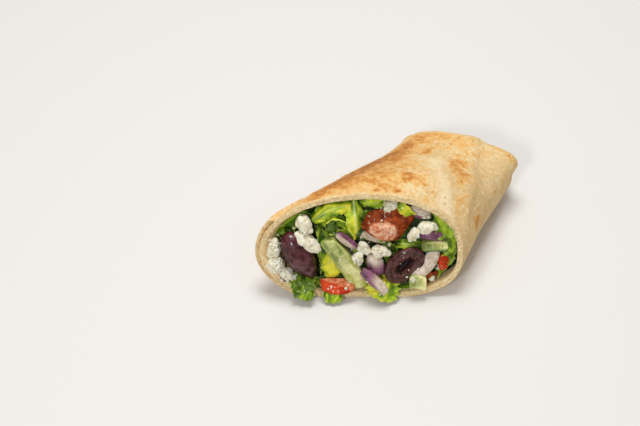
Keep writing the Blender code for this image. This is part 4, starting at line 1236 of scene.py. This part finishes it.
def crumbs(finish, pieces):
    """Small crumbs of feta, each dropped straight onto what lies behind its place on the cut face."""
    draw = np.random.default_rng(5)
    graph = bpy.context.evaluated_depsgraph_get()
    trees = [BVHTree.FromObject(piece, graph) for piece in pieces]
    ball, ball_faces = small_ball()
    parts = []
    for right, up, spread, count, size in CRUMB_SPOTS:
        for _ in range(count):
            spot = [right + draw.normal() * spread / 2, up + draw.normal() * spread / 2, CRUMB_START]
            start = Vector(on_face(spot) * MM)
            radius = size * draw.uniform(0.45, 1.1)
            hits = [tree.ray_cast(start, Vector(-FACE_OUT), CRUMB_FALL * MM) for tree in trees]
            hits = [hit for hit in hits if hit[0] is not None]
            if not hits:
                continue
            spot, normal, _, _ = min(hits, key=lambda hit: hit[3])
            place = np.array(spot) / MM + np.array(normal) * radius * 0.35
            knobbly = ball * draw.uniform(0.72, 1.2, (len(ball), 1)) * draw.uniform(0.7, 1.25, (1, 3))
            parts.append((place + knobbly * radius, [ball_faces], {}))
    points, faces, _ = joined(parts)
    make_piece("feta_crumbs", points, faces, finish, outwards=False)


# Camera, light and floor.

def camera():
    back = np.array([0, -math.cos(CAMERA_ELEVATION), math.sin(CAMERA_ELEVATION)])
    lens = bpy.data.cameras.new("view")
    lens.lens = CAMERA_LENS
    lens.sensor_width = 36.0
    made = bpy.data.objects.new("view", lens)
    bpy.context.scene.collection.objects.link(made)
    made.location = (ORIGIN_SHIFT + CAMERA_TARGET + back * CAMERA_DISTANCE) * MM
    made.rotation_euler = (math.pi / 2 - CAMERA_ELEVATION, 0, 0)
    bpy.context.scene.camera = made


def soft_light(name, place, aim, size, power):
    lamp = bpy.data.lights.new(name, "AREA")
    lamp.shape = "DISK"
    lamp.size = size
    lamp.energy = power
    made = bpy.data.objects.new(name, lamp)
    bpy.context.scene.collection.objects.link(made)
    made.location = place
    made.rotation_euler = (Vector(aim) - Vector(place)).to_track_quat("-Z", "Y").to_euler()


def studio():
    world = bpy.data.worlds.new("studio")
    world.use_nodes = True
    world.node_tree.nodes["Background"].inputs["Color"].default_value = SKY_COLOUR
    world.node_tree.nodes["Background"].inputs["Strength"].default_value = SKY_STRENGTH
    bpy.context.scene.world = world
    bpy.context.scene.view_settings.view_transform = "Standard"
    soft_light("key", *KEY_LIGHT)
    soft_light("fill", *FILL_LIGHT)


def pale_floor():
    mesh = bpy.data.meshes.new("floor")
    reach = FLOOR_REACH
    corners = [(-reach, -reach, 0), (reach, -reach, 0), (reach, reach, 0), (-reach, reach, 0)]
    mesh.from_pydata(corners, [], [(0, 1, 2, 3)])
    floor = bpy.data.objects.new("floor", mesh)
    floor.location = (0, 0, -FLOOR_DROP)
    pale = Finish("pale_floor", Base_Color=(0.71, 0.695, 0.675, 1), Roughness=0.6)
    mesh.materials.append(pale.material)
    bpy.context.scene.collection.objects.link(floor)


def dress():
    """Every piece of the wrap. The crumbs come last, because they fall onto all the others."""
    pieces = [bread(bread_finish()), *romaine(leaf_finish(), core_finish())]
    olive, tomato, cucumber = olive_finish(), tomato_finish(), cucumber_finish()
    onion, feta = onion_finish(), feta_finish()
    pieces += [whole_olive(olive), halved_olive(olive)]
    for seed, (name, corners) in enumerate(TOMATOES.items()):
        pieces.append(tomato_piece(name, corners, tomato, seed))
    for seed, (name, shape) in enumerate(CUCUMBERS.items()):
        pieces.append(cucumber_piece(name, *shape, cucumber, seed))
    for seed, (name, shape) in enumerate(ONIONS.items()):
        pieces.append(onion_piece(name, *shape, onion, seed))
    for seed, (name, shape) in enumerate(FETA.items()):
        pieces.append(feta_piece(name, *shape, feta, seed))
    crumbs(feta, pieces)


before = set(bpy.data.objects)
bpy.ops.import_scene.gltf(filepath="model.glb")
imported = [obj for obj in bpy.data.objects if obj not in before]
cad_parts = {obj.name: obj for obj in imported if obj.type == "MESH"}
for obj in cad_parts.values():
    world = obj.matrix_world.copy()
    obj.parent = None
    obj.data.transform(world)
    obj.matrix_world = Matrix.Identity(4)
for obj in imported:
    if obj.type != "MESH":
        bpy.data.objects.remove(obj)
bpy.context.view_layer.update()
camera()
studio()
pale_floor()
dress()
bpy.context.view_layer.update()
